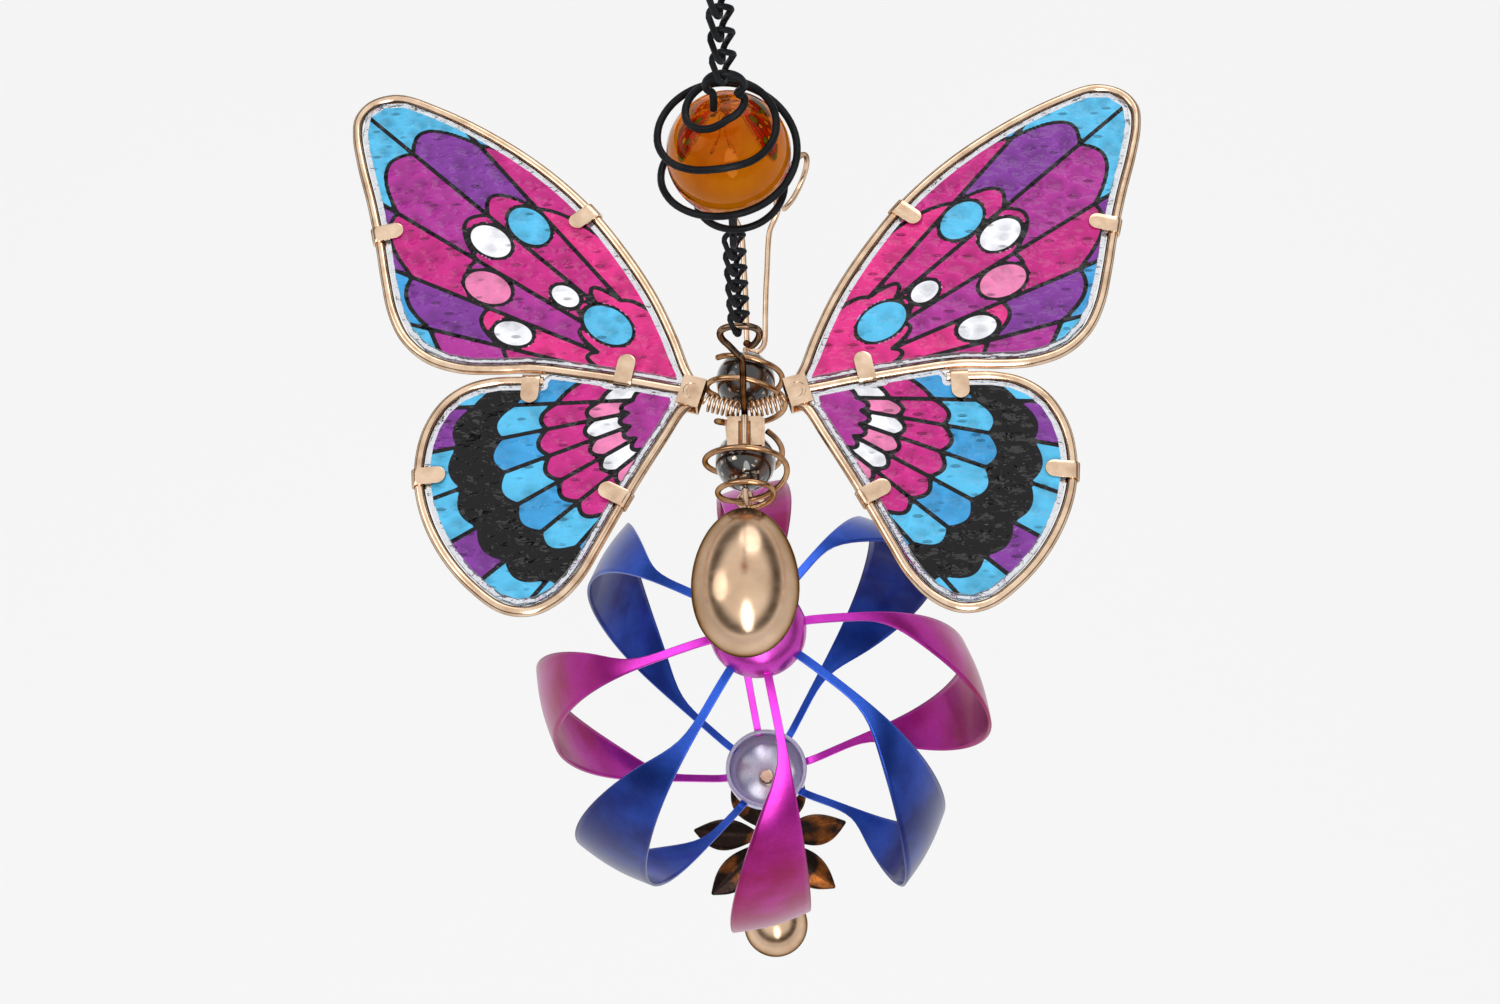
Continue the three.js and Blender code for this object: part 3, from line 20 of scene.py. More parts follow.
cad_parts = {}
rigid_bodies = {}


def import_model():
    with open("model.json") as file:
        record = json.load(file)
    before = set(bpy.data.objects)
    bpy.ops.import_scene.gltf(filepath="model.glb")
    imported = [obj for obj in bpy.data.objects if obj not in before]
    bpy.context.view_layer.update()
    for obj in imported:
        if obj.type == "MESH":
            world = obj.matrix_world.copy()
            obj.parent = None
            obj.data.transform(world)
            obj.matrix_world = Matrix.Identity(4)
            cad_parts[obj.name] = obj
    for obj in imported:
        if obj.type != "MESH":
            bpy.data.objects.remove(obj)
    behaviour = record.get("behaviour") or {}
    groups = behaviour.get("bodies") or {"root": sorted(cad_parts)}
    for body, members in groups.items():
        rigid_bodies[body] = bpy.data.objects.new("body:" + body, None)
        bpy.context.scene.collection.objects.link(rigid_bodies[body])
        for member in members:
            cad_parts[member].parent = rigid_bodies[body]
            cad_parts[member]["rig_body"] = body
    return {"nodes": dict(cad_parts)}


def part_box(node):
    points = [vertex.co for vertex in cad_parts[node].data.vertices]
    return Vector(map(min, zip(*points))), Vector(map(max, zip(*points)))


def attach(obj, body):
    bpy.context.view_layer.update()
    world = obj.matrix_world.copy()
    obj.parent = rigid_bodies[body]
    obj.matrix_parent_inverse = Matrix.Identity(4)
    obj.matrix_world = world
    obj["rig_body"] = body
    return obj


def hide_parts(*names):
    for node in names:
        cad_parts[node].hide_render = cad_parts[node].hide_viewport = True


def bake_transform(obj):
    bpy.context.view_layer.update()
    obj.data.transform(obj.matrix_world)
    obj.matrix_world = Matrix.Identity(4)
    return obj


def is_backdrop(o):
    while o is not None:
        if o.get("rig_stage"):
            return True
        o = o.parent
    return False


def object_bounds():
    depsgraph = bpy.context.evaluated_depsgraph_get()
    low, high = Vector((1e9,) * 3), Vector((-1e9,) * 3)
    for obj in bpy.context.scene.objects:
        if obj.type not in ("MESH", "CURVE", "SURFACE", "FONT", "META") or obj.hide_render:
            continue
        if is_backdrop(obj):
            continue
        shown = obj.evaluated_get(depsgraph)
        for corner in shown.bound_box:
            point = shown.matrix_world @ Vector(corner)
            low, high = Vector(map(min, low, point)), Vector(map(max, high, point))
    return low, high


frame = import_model()
log = logging.getLogger("wind_spinner")

Colour = tuple[float, float, float, float]
Span = tuple[float, float]
Triple = tuple[float, float, float]

MM = 0.001
UP = Vector((0.0, 0.0, 1.0))

# Ranges of patterns.
WHOLE: Span = (0.0, 1.0)
FLIPPED: Span = (1.0, 0.0)

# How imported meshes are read: a wire's end is flat and round within shares of its radius.
WELD_DISTANCE = 0.002 * MM
END_CORNERS = range(5, 9)
END_FLATNESS = 0.02
END_ROUNDNESS = 0.05

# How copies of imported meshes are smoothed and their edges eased.
JOIN_ANGLE = math.radians(40)
DIVIDE_LEVELS = 2
WIRE_SWELL = 0.1 * MM
FLAT_ANGLE = math.radians(2)
EASED_ANGLE = math.radians(35)
EASED_STEPS = 3

# How the panes are filled.
FILL_INSIDE = 1
LEAST_SQUARE = 1e-18


def linear(red: int, green: int, blue: int) -> Colour:
    """Turns a screen colour into a linear one.

    Args:
        red: Red on a screen, 0 to 255.
        green: Green on a screen, 0 to 255.
        blue: Blue on a screen, 0 to 255.

    Returns:
        The linear colour with full alpha.
    """
    def channel(value: int) -> float:
        """Turns one channel."""
        share = value / 255
        return share / 12.92 if share <= 0.04045 else ((share + 0.055) / 1.055) ** 2.4

    return channel(red), channel(green), channel(blue), 1.0


class Side(Enum):
    """The two sides of the butterfly."""

    LEFT = ("left", -1)
    RIGHT = ("right", 1)

    @property
    def word(self) -> str:
        """The side's name in the pieces' names."""
        return self.value[0]

    @property
    def sign(self) -> int:
        """The side's direction along X."""
        return self.value[1]


class Axis(Enum):
    """The ways that a turned piece's axis runs."""

    UPRIGHT = "Z"
    LENGTHWISE = "Y"


class Ink(Enum):
    """The colours of the wings' print."""

    MAGENTA = linear(190, 36, 124)
    PINK = linear(214, 44, 126)
    ROSE = linear(226, 124, 170)
    PURPLE = linear(122, 52, 144)
    VIOLET = linear(164, 46, 140)
    CYAN = linear(82, 180, 220)
    SKY = linear(58, 152, 208)
    WHITE = linear(236, 236, 240)
    NIGHT = linear(5, 5, 8)


class Graph:
    """A node tree with short ways to add and link its nodes."""

    def __init__(self, tree: bpy.types.NodeTree) -> None:
        """Takes a tree.

        Args:
            tree: The node tree.
        """
        self.nodes = tree.nodes
        self.links = tree.links

    def add(self, kind: str, **inputs: object) -> bpy.types.Node:
        """Adds a node.

        Args:
            kind: The node's type.
            inputs: Values or sockets by input name, with _ for a space.

        Returns:
            The node.
        """
        return self.fill(self.nodes.new(kind), **inputs)

    def fill(self, node: bpy.types.Node, **inputs: object) -> bpy.types.Node:
        """Sets or links a node's inputs.

        Args:
            node: The node.
            inputs: Values or sockets by input name, with _ for a space.

        Returns:
            The same node.
        """
        for key, value in inputs.items():
            self.feed(node.inputs[key.replace("_", " ")], value)
        return node

    def feed(self, socket: bpy.types.NodeSocket, value: object) -> None:
        """Sets a socket's value or links it.

        Args:
            socket: The input.
            value: A number, a colour or another node's output.
        """
        if isinstance(value, bpy.types.NodeSocket):
            self.links.new(value, socket)
        else:
            socket.default_value = value

    def math(self, operation: str, first: object, second: object) -> bpy.types.NodeSocket:
        """A sum on two values.

        Args:
            operation: The operation's name.
            first: The first value or socket.
            second: The second value or socket.

        Returns:
            The result.
        """
        node = self.nodes.new("ShaderNodeMath")
        node.operation = operation
        self.feed(node.inputs[0], first)
        self.feed(node.inputs[1], second)
        return node.outputs[0]

    def either(self, share: object, first: object, second: object) -> bpy.types.NodeSocket:
        """A mix of two lights.

        Args:
            share: The second light's share.
            first: The first light.
            second: The second light.

        Returns:
            The mixed light.
        """
        node = self.add("ShaderNodeMixShader", Fac=share)
        self.feed(node.inputs[1], first)
        self.feed(node.inputs[2], second)
        return node.outputs["Shader"]


class Shader(Graph):
    """A material's node tree with the patterns that the finishes share."""

    def __init__(self, name: str) -> None:
        """Starts a material.

        Args:
            name: The material's name.
        """
        self.material = bpy.data.materials.new(name)
        self.material.use_nodes = True
        super().__init__(self.material.node_tree)
        self.surface = self.nodes["Principled BSDF"]

    def set(self, **inputs: object) -> None:
        """Sets the surface's own inputs.

        Args:
            inputs: Values or sockets by input name, with _ for a space.
        """
        self.fill(self.surface, **inputs)

    def place(self) -> bpy.types.NodeSocket:
        """The place on the object."""
        return self.add("ShaderNodeTexCoord").outputs["Object"]

    def stretched(self, scale: Triple) -> bpy.types.NodeSocket:
        """The place on the object, scaled by axis.

        Args:
            scale: The scale along X, Y and Z.

        Returns:
            The scaled place.
        """
        return self.add("ShaderNodeMapping", Vector=self.place(), Scale=scale).outputs["Vector"]

    def noise(self, size: float, detail: float = 3.0, place: object = None) -> bpy.types.NodeSocket:
        """A cloudy pattern.

        Args:
            size: The pattern's size in metres.
            detail: How many finer layers it has.
            place: Where it is read, the object's own place unless given.

        Returns:
            The pattern, from 0 to 1.
        """
        where = self.place() if place is None else place
        node = self.add("ShaderNodeTexNoise", Vector=where, Scale=1 / size, Detail=detail)
        return node.outputs["Fac"]

    def cells(self, size: float, feature: str = "F1", place: object = None,
              **inputs: float) -> bpy.types.Node:
        """A cellular pattern.

        Args:
            size: A cell's size in metres.
            feature: What the pattern measures.
            place: Where it is read, the object's own place unless given.
            inputs: The pattern's other inputs by name.

        Returns:
            The node.
        """
        node = self.add("ShaderNodeTexVoronoi")
        node.feature = feature
        where = self.place() if place is None else place
        return self.fill(node, Vector=where, Scale=1 / size, **inputs)

    def ranged(self, value: object, span: Span, to: Span = WHOLE) -> bpy.types.NodeSocket:
        """A value taken from one range to another, and held inside it.

        Args:
            value: The value.
            span: The range's start and end.
            to: The new range's start and end.

        Returns:
            The new value.
        """
        node = self.add(
            "ShaderNodeMapRange", Value=value, From_Min=span[0], From_Max=span[1], To_Min=to[0], To_Max=to[1]
        )
        return node.outputs["Result"]

    def mix(self, share: object, first: object, second: object) -> bpy.types.NodeSocket:
        """A mix of two colours.

        Args:
            share: The second colour's share.
            first: The first colour.
            second: The second colour.

        Returns:
            The mixed colour.
        """
        node = self.nodes.new("ShaderNodeMix")
        node.data_type = "RGBA"
        self.feed(node.inputs["Factor"], share)
        self.feed(node.inputs[6], first)
        self.feed(node.inputs[7], second)
        return node.outputs[2]

    def scaled(self, colour: object, factor: object) -> bpy.types.NodeSocket:
        """A colour made lighter or darker.

        Args:
            colour: The colour.
            factor: What it is multiplied by.

        Returns:
            The new colour.
        """
        node = self.nodes.new("ShaderNodeVectorMath")
        node.operation = "SCALE"
        self.feed(node.inputs[0], colour)
        self.feed(node.inputs["Scale"], factor)
        return node.outputs["Vector"]

    def attribute(self, name: str, output: str = "Fac") -> bpy.types.NodeSocket:
        """One of the mesh's own attributes.

        Args:
            name: The attribute's name.
            output: Which of the node's outputs is read.

        Returns:
            The attribute.
        """
        node = self.nodes.new("ShaderNodeAttribute")
        node.attribute_name = name
        return node.outputs[output]

    def bump(self, height: object, depth: float, strength: float = 1.0) -> bpy.types.NodeSocket:
        """A relief without geometry.

        Args:
            height: The relief's height, 0 to 1.
            depth: What a height of 1 is, in metres.
            strength: The relief's strength.

        Returns:
            The bent normal.
        """
        node = self.add("ShaderNodeBump", Height=height, Distance=depth, Strength=strength)
        return node.outputs["Normal"]


@dataclass(frozen=True)
class WireFinish:
    """Drawn wire: plated or blackened, with a little tone in it, and a dark edge tint that paints darker
    reflections at its sides.
    """

    name: str
    light: Colour
    dark: Colour
    roughness: float
    metallic: float
    # A dark edge tint: painted darker reflections at the wire's sides.
    edge: Colour = linear(70, 62, 50)
    tone_size: float = 5 * MM
    tone_span: Span = (0.35, 0.75)
    scratch_size: float = 0.35 * MM
    scratch_depth: float = 0.01 * MM
    scratch_run: Triple = (1.0, 1.0, 0.25)
    scratch_span: Span = (0.2, 0.8)
    smooth_share: float = 0.7
    rough_share: float = 1.35

    def build(self) -> bpy.types.Material:
        """Makes the material.

        Returns:
            The material.
        """
        shader = Shader(self.name)
        tone = shader.ranged(shader.noise(self.tone_size), self.tone_span)
        scratch = shader.noise(self.scratch_size, 2.0, shader.stretched(self.scratch_run))
        rough = (self.roughness * self.smooth_share, self.roughness * self.rough_share)
        shader.set(
            Base_Color=shader.mix(tone, self.light, self.dark),
            Metallic=self.metallic,
            Specular_Tint=self.edge,
            Roughness=shader.ranged(scratch, self.scratch_span, rough),
            Normal=shader.bump(scratch, self.scratch_depth),
        )
        return shader.material


@dataclass(frozen=True)
class PolishedFinish:
    """Polished metal with faint clouds, fine pits and turning lines, and a dark edge tint that paints darker
    reflections at grazing angles.
    """

    name: str
    light: Colour
    dark: Colour
    roughness: float
    # A dark olive edge tint: painted darker reflections towards the silhouette.
    edge: Colour = linear(60, 54, 36)
    cloud_size: float = 14 * MM
    cloud_span: Span = (0.35, 0.7)
    pit_size: float = 1.6 * MM
    pit_depth: float = 0.02 * MM
    pit_span: Span = (0.0, 0.18)
    pit_strength: float = 0.35
    line_run: Triple = (0.1, 1.0, 0.1)
    line_span: Span = (0.3, 0.7)
    smooth_share: float = 0.8
    rough_share: float = 1.2

    def build(self) -> bpy.types.Material:
        """Makes the material.

        Returns:
            The material.
        """
        shader = Shader(self.name)
        clouds = shader.ranged(shader.noise(self.cloud_size, 4.0), self.cloud_span)
        pits = shader.ranged(shader.cells(self.pit_size).outputs["Distance"], self.pit_span)
        lines = shader.noise(self.pit_size, 2.0, shader.stretched(self.line_run))
        rough = (self.roughness * self.smooth_share, self.roughness * self.rough_share)
        shader.set(
            Base_Color=shader.mix(clouds, self.light, self.dark),
            Metallic=1.0,
            Specular_Tint=self.edge,
            Roughness=shader.ranged(lines, self.line_span, rough),
            Normal=shader.bump(pits, self.pit_depth, self.pit_strength),
        )
        return shader.material


@dataclass(frozen=True)
class AmberFinish:
    """Amber glass, redder and darker towards its top as a painted shade, with faint swirls."""

    name: str
    light: Colour
    dark: Colour
    sheen: Colour = linear(250, 170, 84)
    height_span: Span = (-88 * MM, -66 * MM)
    swirl_size: float = 9 * MM
    swirl_span: Span = (0.3, 0.7)
    swirl_shift: Span = (-0.2, 0.3)
    swirl_depth: float = 0.15 * MM
    swirl_strength: float = 0.25
    depth_span: Span = (0.1, 1.1)

    def build(self) -> bpy.types.Material:
        """Makes the material.

        Returns:
            The material.
        """
        shader = Shader(self.name)
        split = shader.add("ShaderNodeSeparateXYZ", Vector=shader.place())
        rise = shader.ranged(split.outputs["Z"], self.height_span)
        swirl = shader.noise(self.swirl_size, 4.0)
        # Painted shade: the colour runs redder and darker with height, with the swirls stirred in at random.
        depth = shader.math("ADD", rise, shader.ranged(swirl, self.swirl_span, self.swirl_shift))
        shader.set(
            Base_Color=shader.mix(shader.ranged(depth, self.depth_span), self.light, self.dark),
            Roughness=0.03,
            IOR=1.5,
            Specular_Tint=self.sheen,
            Specular_IOR_Level=0.25,
            Transmission_Weight=0.98,
            Normal=shader.bump(swirl, self.swirl_depth, self.swirl_strength),
        )
        return shader.material


@dataclass(frozen=True)
class BeadFinish:
    """Dark glass bead with glittering flakes under a clear skin, and patches of painted amber glow in the
    glass.
    """

    name: str
    glass: Colour
    flake: Colour
    glow: Colour
    flake_size: float = 0.75 * MM
    flake_span: Span = (0.82, 0.88)
    flake_metal: Span = (0.0, 0.95)
    flake_roughness: Span = (0.08, 0.25)
    flake_depth: float = 0.3 * MM
    flake_strength: float = 0.5
    glow_size: float = 5 * MM
    glow_span: Span = (0.54, 0.72)

    def build(self) -> bpy.types.Material:
        """Makes the material.

        Returns:
            The material.
        """
        shader = Shader(self.name)
        flakes = shader.cells(self.flake_size)
        picked = shader.ranged(flakes.outputs["Color"], self.flake_span)
        # Painted glow: amber patches mixed into the dark glass at random.
        clouds = shader.ranged(shader.noise(self.glow_size), self.glow_span)
        glass_and_painted_glow = shader.mix(clouds, self.glass, self.glow)
        tilt = shader.math("MULTIPLY", picked, flakes.outputs["Color"])
        shader.set(
            Base_Color=shader.mix(picked, glass_and_painted_glow, self.flake),
            Metallic=shader.ranged(picked, WHOLE, self.flake_metal),
            Roughness=shader.ranged(picked, WHOLE, self.flake_roughness),
            Coat_Weight=1.0,
            Coat_Roughness=0.03,
            Normal=shader.bump(tilt, self.flake_depth, self.flake_strength),
        )
        return shader.material


@dataclass(frozen=True)
class PaintFinish:
    """Glossy metallic lacquer whose colour shifts with the distance from the axis."""

    name: str
    inner: Colour
    outer: Colour
    inner_radius: float
    outer_radius: float
    roughness: float = 0.3
    metallic: float = 0.85
    cloud_size: float = 16 * MM
    cloud_span: Span = (0.3, 0.7)
    cloud_shift: Span = (-0.18, 0.18)
    flake_size: float = 0.5 * MM
    flake_shade: Span = (0.88, 1.12)
    peel_size: float = 2.4 * MM
    peel_depth: float = 0.05 * MM
    peel_strength: float = 0.4
    flattened: Triple = (1.0, 1.0, 0.0)

    def build(self) -> bpy.types.Material:
        """Makes the material.

        Returns:
            The material.
        """
        shader = Shader(self.name)
        length = shader.nodes.new("ShaderNodeVectorMath")
        length.operation = "LENGTH"
        shader.feed(length.inputs[0], shader.stretched(self.flattened))
        reach = shader.ranged(length.outputs["Value"], (self.inner_radius, self.outer_radius))
        cloud = shader.ranged(shader.noise(self.cloud_size), self.cloud_span, self.cloud_shift)
        base = shader.mix(shader.math("ADD", reach, cloud), self.inner, self.outer)
        flake = shader.ranged(shader.cells(self.flake_size).outputs["Color"], WHOLE, self.flake_shade)
        shader.set(
            Base_Color=shader.scaled(base, flake),
            Metallic=self.metallic,
            Roughness=self.roughness,
            Coat_Weight=0.12,
            Coat_Roughness=0.08,
            Normal=shader.bump(shader.noise(self.peel_size, 1.0), self.peel_depth, self.peel_strength),
        )
        return shader.material


@dataclass(frozen=True)
class LeafFinish:
    """Dark copper sheet, from near black to orange in random patches where the orange is a painted
    highlight, with a chased grain.
    """

    name: str
    dark: Colour
    # lit: the orange of a painted highlight.
    lit: Colour
    flame_size: float = 12 * MM
    flame_span: Span = (0.54, 0.72)
    grain_size: float = 1.1 * MM
    grain_depth: float = 0.08 * MM
    grain_strength: float = 0.6
    grain_span: Span = (0.3, 0.7)
    roughness_span: Span = (0.24, 0.46)

    def build(self) -> bpy.types.Material:
        """Makes the material.

        Returns:
            The material.
        """
        shader = Shader(self.name)
        # Painted highlight: orange patches mixed at random into the near-black copper.
        painted_highlight = shader.ranged(shader.noise(self.flame_size, 5.0), self.flame_span)
        grain = shader.noise(self.grain_size)
        shader.set(
            Base_Color=shader.mix(painted_highlight, self.dark, self.lit),
            Metallic=0.9,
            Roughness=shader.ranged(grain, self.grain_span, self.roughness_span),
            Normal=shader.bump(grain, self.grain_depth, self.grain_strength),
        )
        return shader.material


@dataclass(frozen=True)
class PaneFinish:
    """Hammered clear glass with a printed design carried by the pane's own attributes, with painted shade
    and highlight from the relief.
    """

    name: str
    ink: Colour
    clear: Colour
    dent_size: float = 4.2 * MM
    dent_depth: float = 0.7 * MM
    dent_span: Span = (0.1, 0.75)
    dent_smoothness: float = 0.35
    dent_randomness: float = 0.9
    wave_size: float = 2.8 * MM
    wave_run: Triple = (1.0, 1.5, 1.0)
    # The relief and its nicks also darken and lighten the print: painted shade and highlight.
    relief_span: Span = (0.4, 1.3)
    relief_shade: Span = (0.74, 1.12)
    nick_size: float = 4.5 * MM
    nick_run: Triple = (0.6, 1.9, 1.0)
    nick_randomness: float = 0.8
    nick_span: Span = (0.1, 0.2)
    nick_shade: Span = (0.55, 1.0)
    nick_share: float = 0.6
    cloud_size: float = 7 * MM
    cloud_span: Span = (0.3, 0.7)
    cloud_shade: Span = (0.86, 1.1)
    line_span: Span = (0.0, 0.12)
    rim_span: Span = (-0.06, 0.06)
    clearness: Span = (0.0, 0.92)

    def relief(self, shader: Shader) -> tuple[bpy.types.NodeSocket, bpy.types.NodeSocket]:
        """Makes the hammered relief.

        Args:
            shader: The pane's material.

        Returns:
            The relief, and the nicks in it, 0 in a nick.
        """
        dents = shader.cells(
            self.dent_size, "SMOOTH_F1", Smoothness=self.dent_smoothness, Randomness=self.dent_randomness
        )
        waves = shader.noise(self.wave_size, 2.0, shader.stretched(self.wave_run))
        relief = shader.math("ADD", shader.ranged(dents.outputs["Distance"], self.dent_span), waves)
        nicks = shader.cells(
            self.nick_size, "F1", shader.stretched(self.nick_run), Randomness=self.nick_randomness
        )
        return relief, shader.ranged(nicks.outputs["Distance"], self.nick_span)

    def build(self) -> bpy.types.Material:
        """Makes the material.

        Returns:
            The material.
        """
        shader = Shader(self.name)
        relief, nick = self.relief(shader)
        cloud = shader.ranged(shader.noise(self.cloud_size), self.cloud_span, self.cloud_shade)
        # Painted shade and highlight: the print is darker in the relief's hollows and nicks and lighter on
        # its crests, over a random cloudy tone.
        tone_and_painted_shade = shader.math("MULTIPLY", cloud, shader.ranged(relief, self.relief_span, self.relief_shade))
        tone_and_painted_shade = shader.math("MULTIPLY", tone_and_painted_shade, shader.ranged(nick, WHOLE, self.nick_shade))
        print_with_painted_shade = shader.scaled(shader.attribute(Pane.FILL, "Color"), tone_and_painted_shade)
        lined = shader.ranged(shader.attribute(Pane.LINE), self.line_span, FLIPPED)
        bare = shader.ranged(shader.attribute(Pane.RIM), self.rim_span, FLIPPED)
        nicked = shader.math("ADD", relief, shader.math("MULTIPLY", nick, self.nick_share))
        shader.set(
            Base_Color=shader.mix(bare, shader.mix(lined, print_with_painted_shade, self.ink), self.clear),
            Metallic=0.0,
            Roughness=0.09,
            IOR=1.5,
            Specular_IOR_Level=0.32,
            Transmission_Weight=shader.ranged(bare, WHOLE, self.clearness),
            Normal=shader.bump(nicked, self.dent_depth),
        )
        return shader.material


class Finishes:
    """Every finish of the spinner, built once."""

    def __init__(self) -> None:
        """Builds the materials."""
        self.gold = WireFinish(
            "rose_gold_wire", linear(250, 220, 192), linear(206, 170, 140), 0.15, 1.0
        ).build()
        self.dark_gold = WireFinish(
            "aged_gold_wire", linear(150, 122, 98), linear(84, 68, 58), 0.2, 1.0
        ).build()
        self.copper = WireFinish(
            "copper_wire", linear(206, 164, 126), linear(156, 114, 82), 0.18, 1.0
        ).build()
        self.spring_gold = WireFinish(
            "spring_wire", linear(242, 206, 172), linear(206, 164, 130), 0.18, 1.0
        ).build()
        self.black = WireFinish(
            "blackened_wire", linear(40, 42, 45), linear(20, 21, 23), 0.34, 0.5
        ).build()
        self.champagne = PolishedFinish(
            "polished_champagne", linear(236, 202, 172), linear(200, 166, 136), 0.22
        ).build()
        # The amber's darker colour is painted shade towards the ball's top.
        self.amber = AmberFinish("amber_glass", linear(208, 120, 4), linear(146, 50, 6)).build()
        # The bead's third colour is its painted amber glow.
        self.bead = BeadFinish(
            "dark_glass_bead", linear(18, 17, 19), linear(210, 196, 176), linear(92, 46, 14)
        ).build()
        self.magenta = PaintFinish(
            "magenta_lacquer", linear(226, 60, 212), linear(150, 14, 88), 26 * MM, 71 * MM
        ).build()
        self.hub = PaintFinish(
            "orchid_lacquer", linear(232, 96, 214), linear(198, 56, 180), 2 * MM, 15 * MM
        ).build()
        self.blue = PaintFinish(
            "blue_lacquer", linear(54, 104, 230), linear(14, 30, 104), 26 * MM, 71 * MM
        ).build()
        self.cup = PaintFinish(
            "lavender_lacquer", linear(228, 225, 236), linear(190, 184, 214), 4 * MM, 15 * MM
        ).build()
        self.leaf = LeafFinish("flamed_copper", linear(38, 26, 22), linear(150, 84, 34)).build()
        self.pane = PaneFinish("printed_glass", linear(10, 9, 15), linear(238, 240, 244)).build()


def welded(node: str) -> tuple[np.ndarray, list[tuple[int, ...]]]:
    """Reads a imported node's mesh with its shared corners joined.

    Args:
        node: The node's name.

    Returns:
        The corners and the triangles between them.
    """
    mesh = frame["nodes"][node].data
    corners = np.array([v.co for v in mesh.vertices], float)
    keys: dict[tuple[int, ...], int] = {}
    where = []
    for key in map(tuple, np.round(corners / WELD_DISTANCE).astype(int)):
        where.append(keys.setdefault(key, len(keys)))
    points = np.zeros((len(keys), 3))
    points[where] = corners
    faces = [tuple(where[i] for i in polygon.vertices) for polygon in mesh.polygons]
    return points, [face for face in faces if len(set(face)) == len(face)]


def middle_line(node: str, wire_radius: float) -> list[Vector]:
    """Measures the middle line of a packed wire, from its first end to its other end.

    Args:
        node: The node's name.
        wire_radius: The wire's radius.

    Returns:
        The middles of the wire's sections in order.
    """
    points, faces = welded(node)
    near: list[set[int]] = [set() for _ in points]
    for face in faces:
        for corner in face:
            near[corner].update(face)
    ring: set[int] = set()
    for face in faces:
        middle = points[list(face)].mean(0)
        normal = np.cross(points[face[1]] - points[face[0]], points[face[2]] - points[face[0]])
        normal /= np.linalg.norm(normal)
        around = set().union(*(near[i] for i in face))
        around |= set().union(*(near[i] for i in around))
        flat = [i for i in around if abs((points[i] - middle) @ normal) < END_FLATNESS * wire_radius]
        if len(flat) not in END_CORNERS:
            continue
        away = np.linalg.norm(points[flat] - points[flat].mean(0), axis=1)
        if np.all(abs(away - wire_radius) < END_ROUNDNESS * wire_radius):
            ring = set(flat)
            break
    if not ring:
        raise RuntimeError(f"no end of the wire {node} was found")
    line = []
    seen: set[int] = set()
    while ring:
        line.append(Vector(points[list(ring)].mean(0)))
        seen |= ring
        ring = set().union(*(near[i] for i in ring)) - seen
    return line


def final_mesh(piece: bpy.types.Object) -> bpy.types.Mesh:
    """Reads a piece's mesh as its modifiers leave it.

    Args:
        piece: The piece.

    Returns:
        The plain mesh.
    """
    graph = bpy.context.evaluated_depsgraph_get()
    return bpy.data.meshes.new_from_object(piece.evaluated_get(graph), depsgraph=graph)


class Grower(Graph):
    """A Geometry Nodes tree whose result is turned into one plain, dressed mesh."""

    def __init__(self, name: str, inputs: dict[str, str], result: str) -> None:
        """Starts the tree with its named inputs.

        Args:
            name: The tree's name.
            inputs: The kinds of its inputs by name.
            result: The name of its output.
        """
        self.tree = bpy.data.node_groups.new(name, "GeometryNodeTree")
        super().__init__(self.tree)
        for key, kind in inputs.items():
            self.tree.interface.new_socket(key, in_out="INPUT", socket_type=kind)
        self.tree.interface.new_socket(result, in_out="OUTPUT", socket_type="NodeSocketGeometry")
        self.result = result
        self.start = self.add("NodeGroupInput").outputs

    def end(self, geometry: bpy.types.NodeSocket) -> None:
        """Ends the tree in real meshes that wear the finish.

        Args:
            geometry: What the tree has made so far.
        """
        real = self.add("GeometryNodeRealizeInstances", Geometry=geometry)
        dress = self.add(
            "GeometryNodeSetMaterial", Geometry=real.outputs["Geometry"], Material=self.start["Finish"]
        )
        self.add("NodeGroupOutput", **{self.result: dress.outputs["Geometry"]})

    def grow(self, name: str, mesh: bpy.types.Mesh, **values: object) -> bpy.types.Object:
        """Runs the tree on a mesh and turns the result into a plain mesh.

        Args:
            name: The piece's name.
            mesh: The points or lines that the tree starts from.
            values: The tree's inputs by name.

        Returns:
            The plain mesh object.
        """
        carrier = bpy.data.objects.new(mesh.name, mesh)
        bpy.context.scene.collection.objects.link(carrier)
        modifier = carrier.modifiers.new("grow", "NODES")
        modifier.node_group = self.tree
        items = self.tree.interface.items_tree
        sockets = {item.name: item.identifier for item in items if item.in_out == "INPUT"}
        for key, value in values.items():
            modifier[sockets[key]] = value
        made = final_mesh(carrier)
        carrier.modifiers.remove(modifier)
        bpy.data.objects.remove(carrier)
        made.name = name
        return shown(name, made)


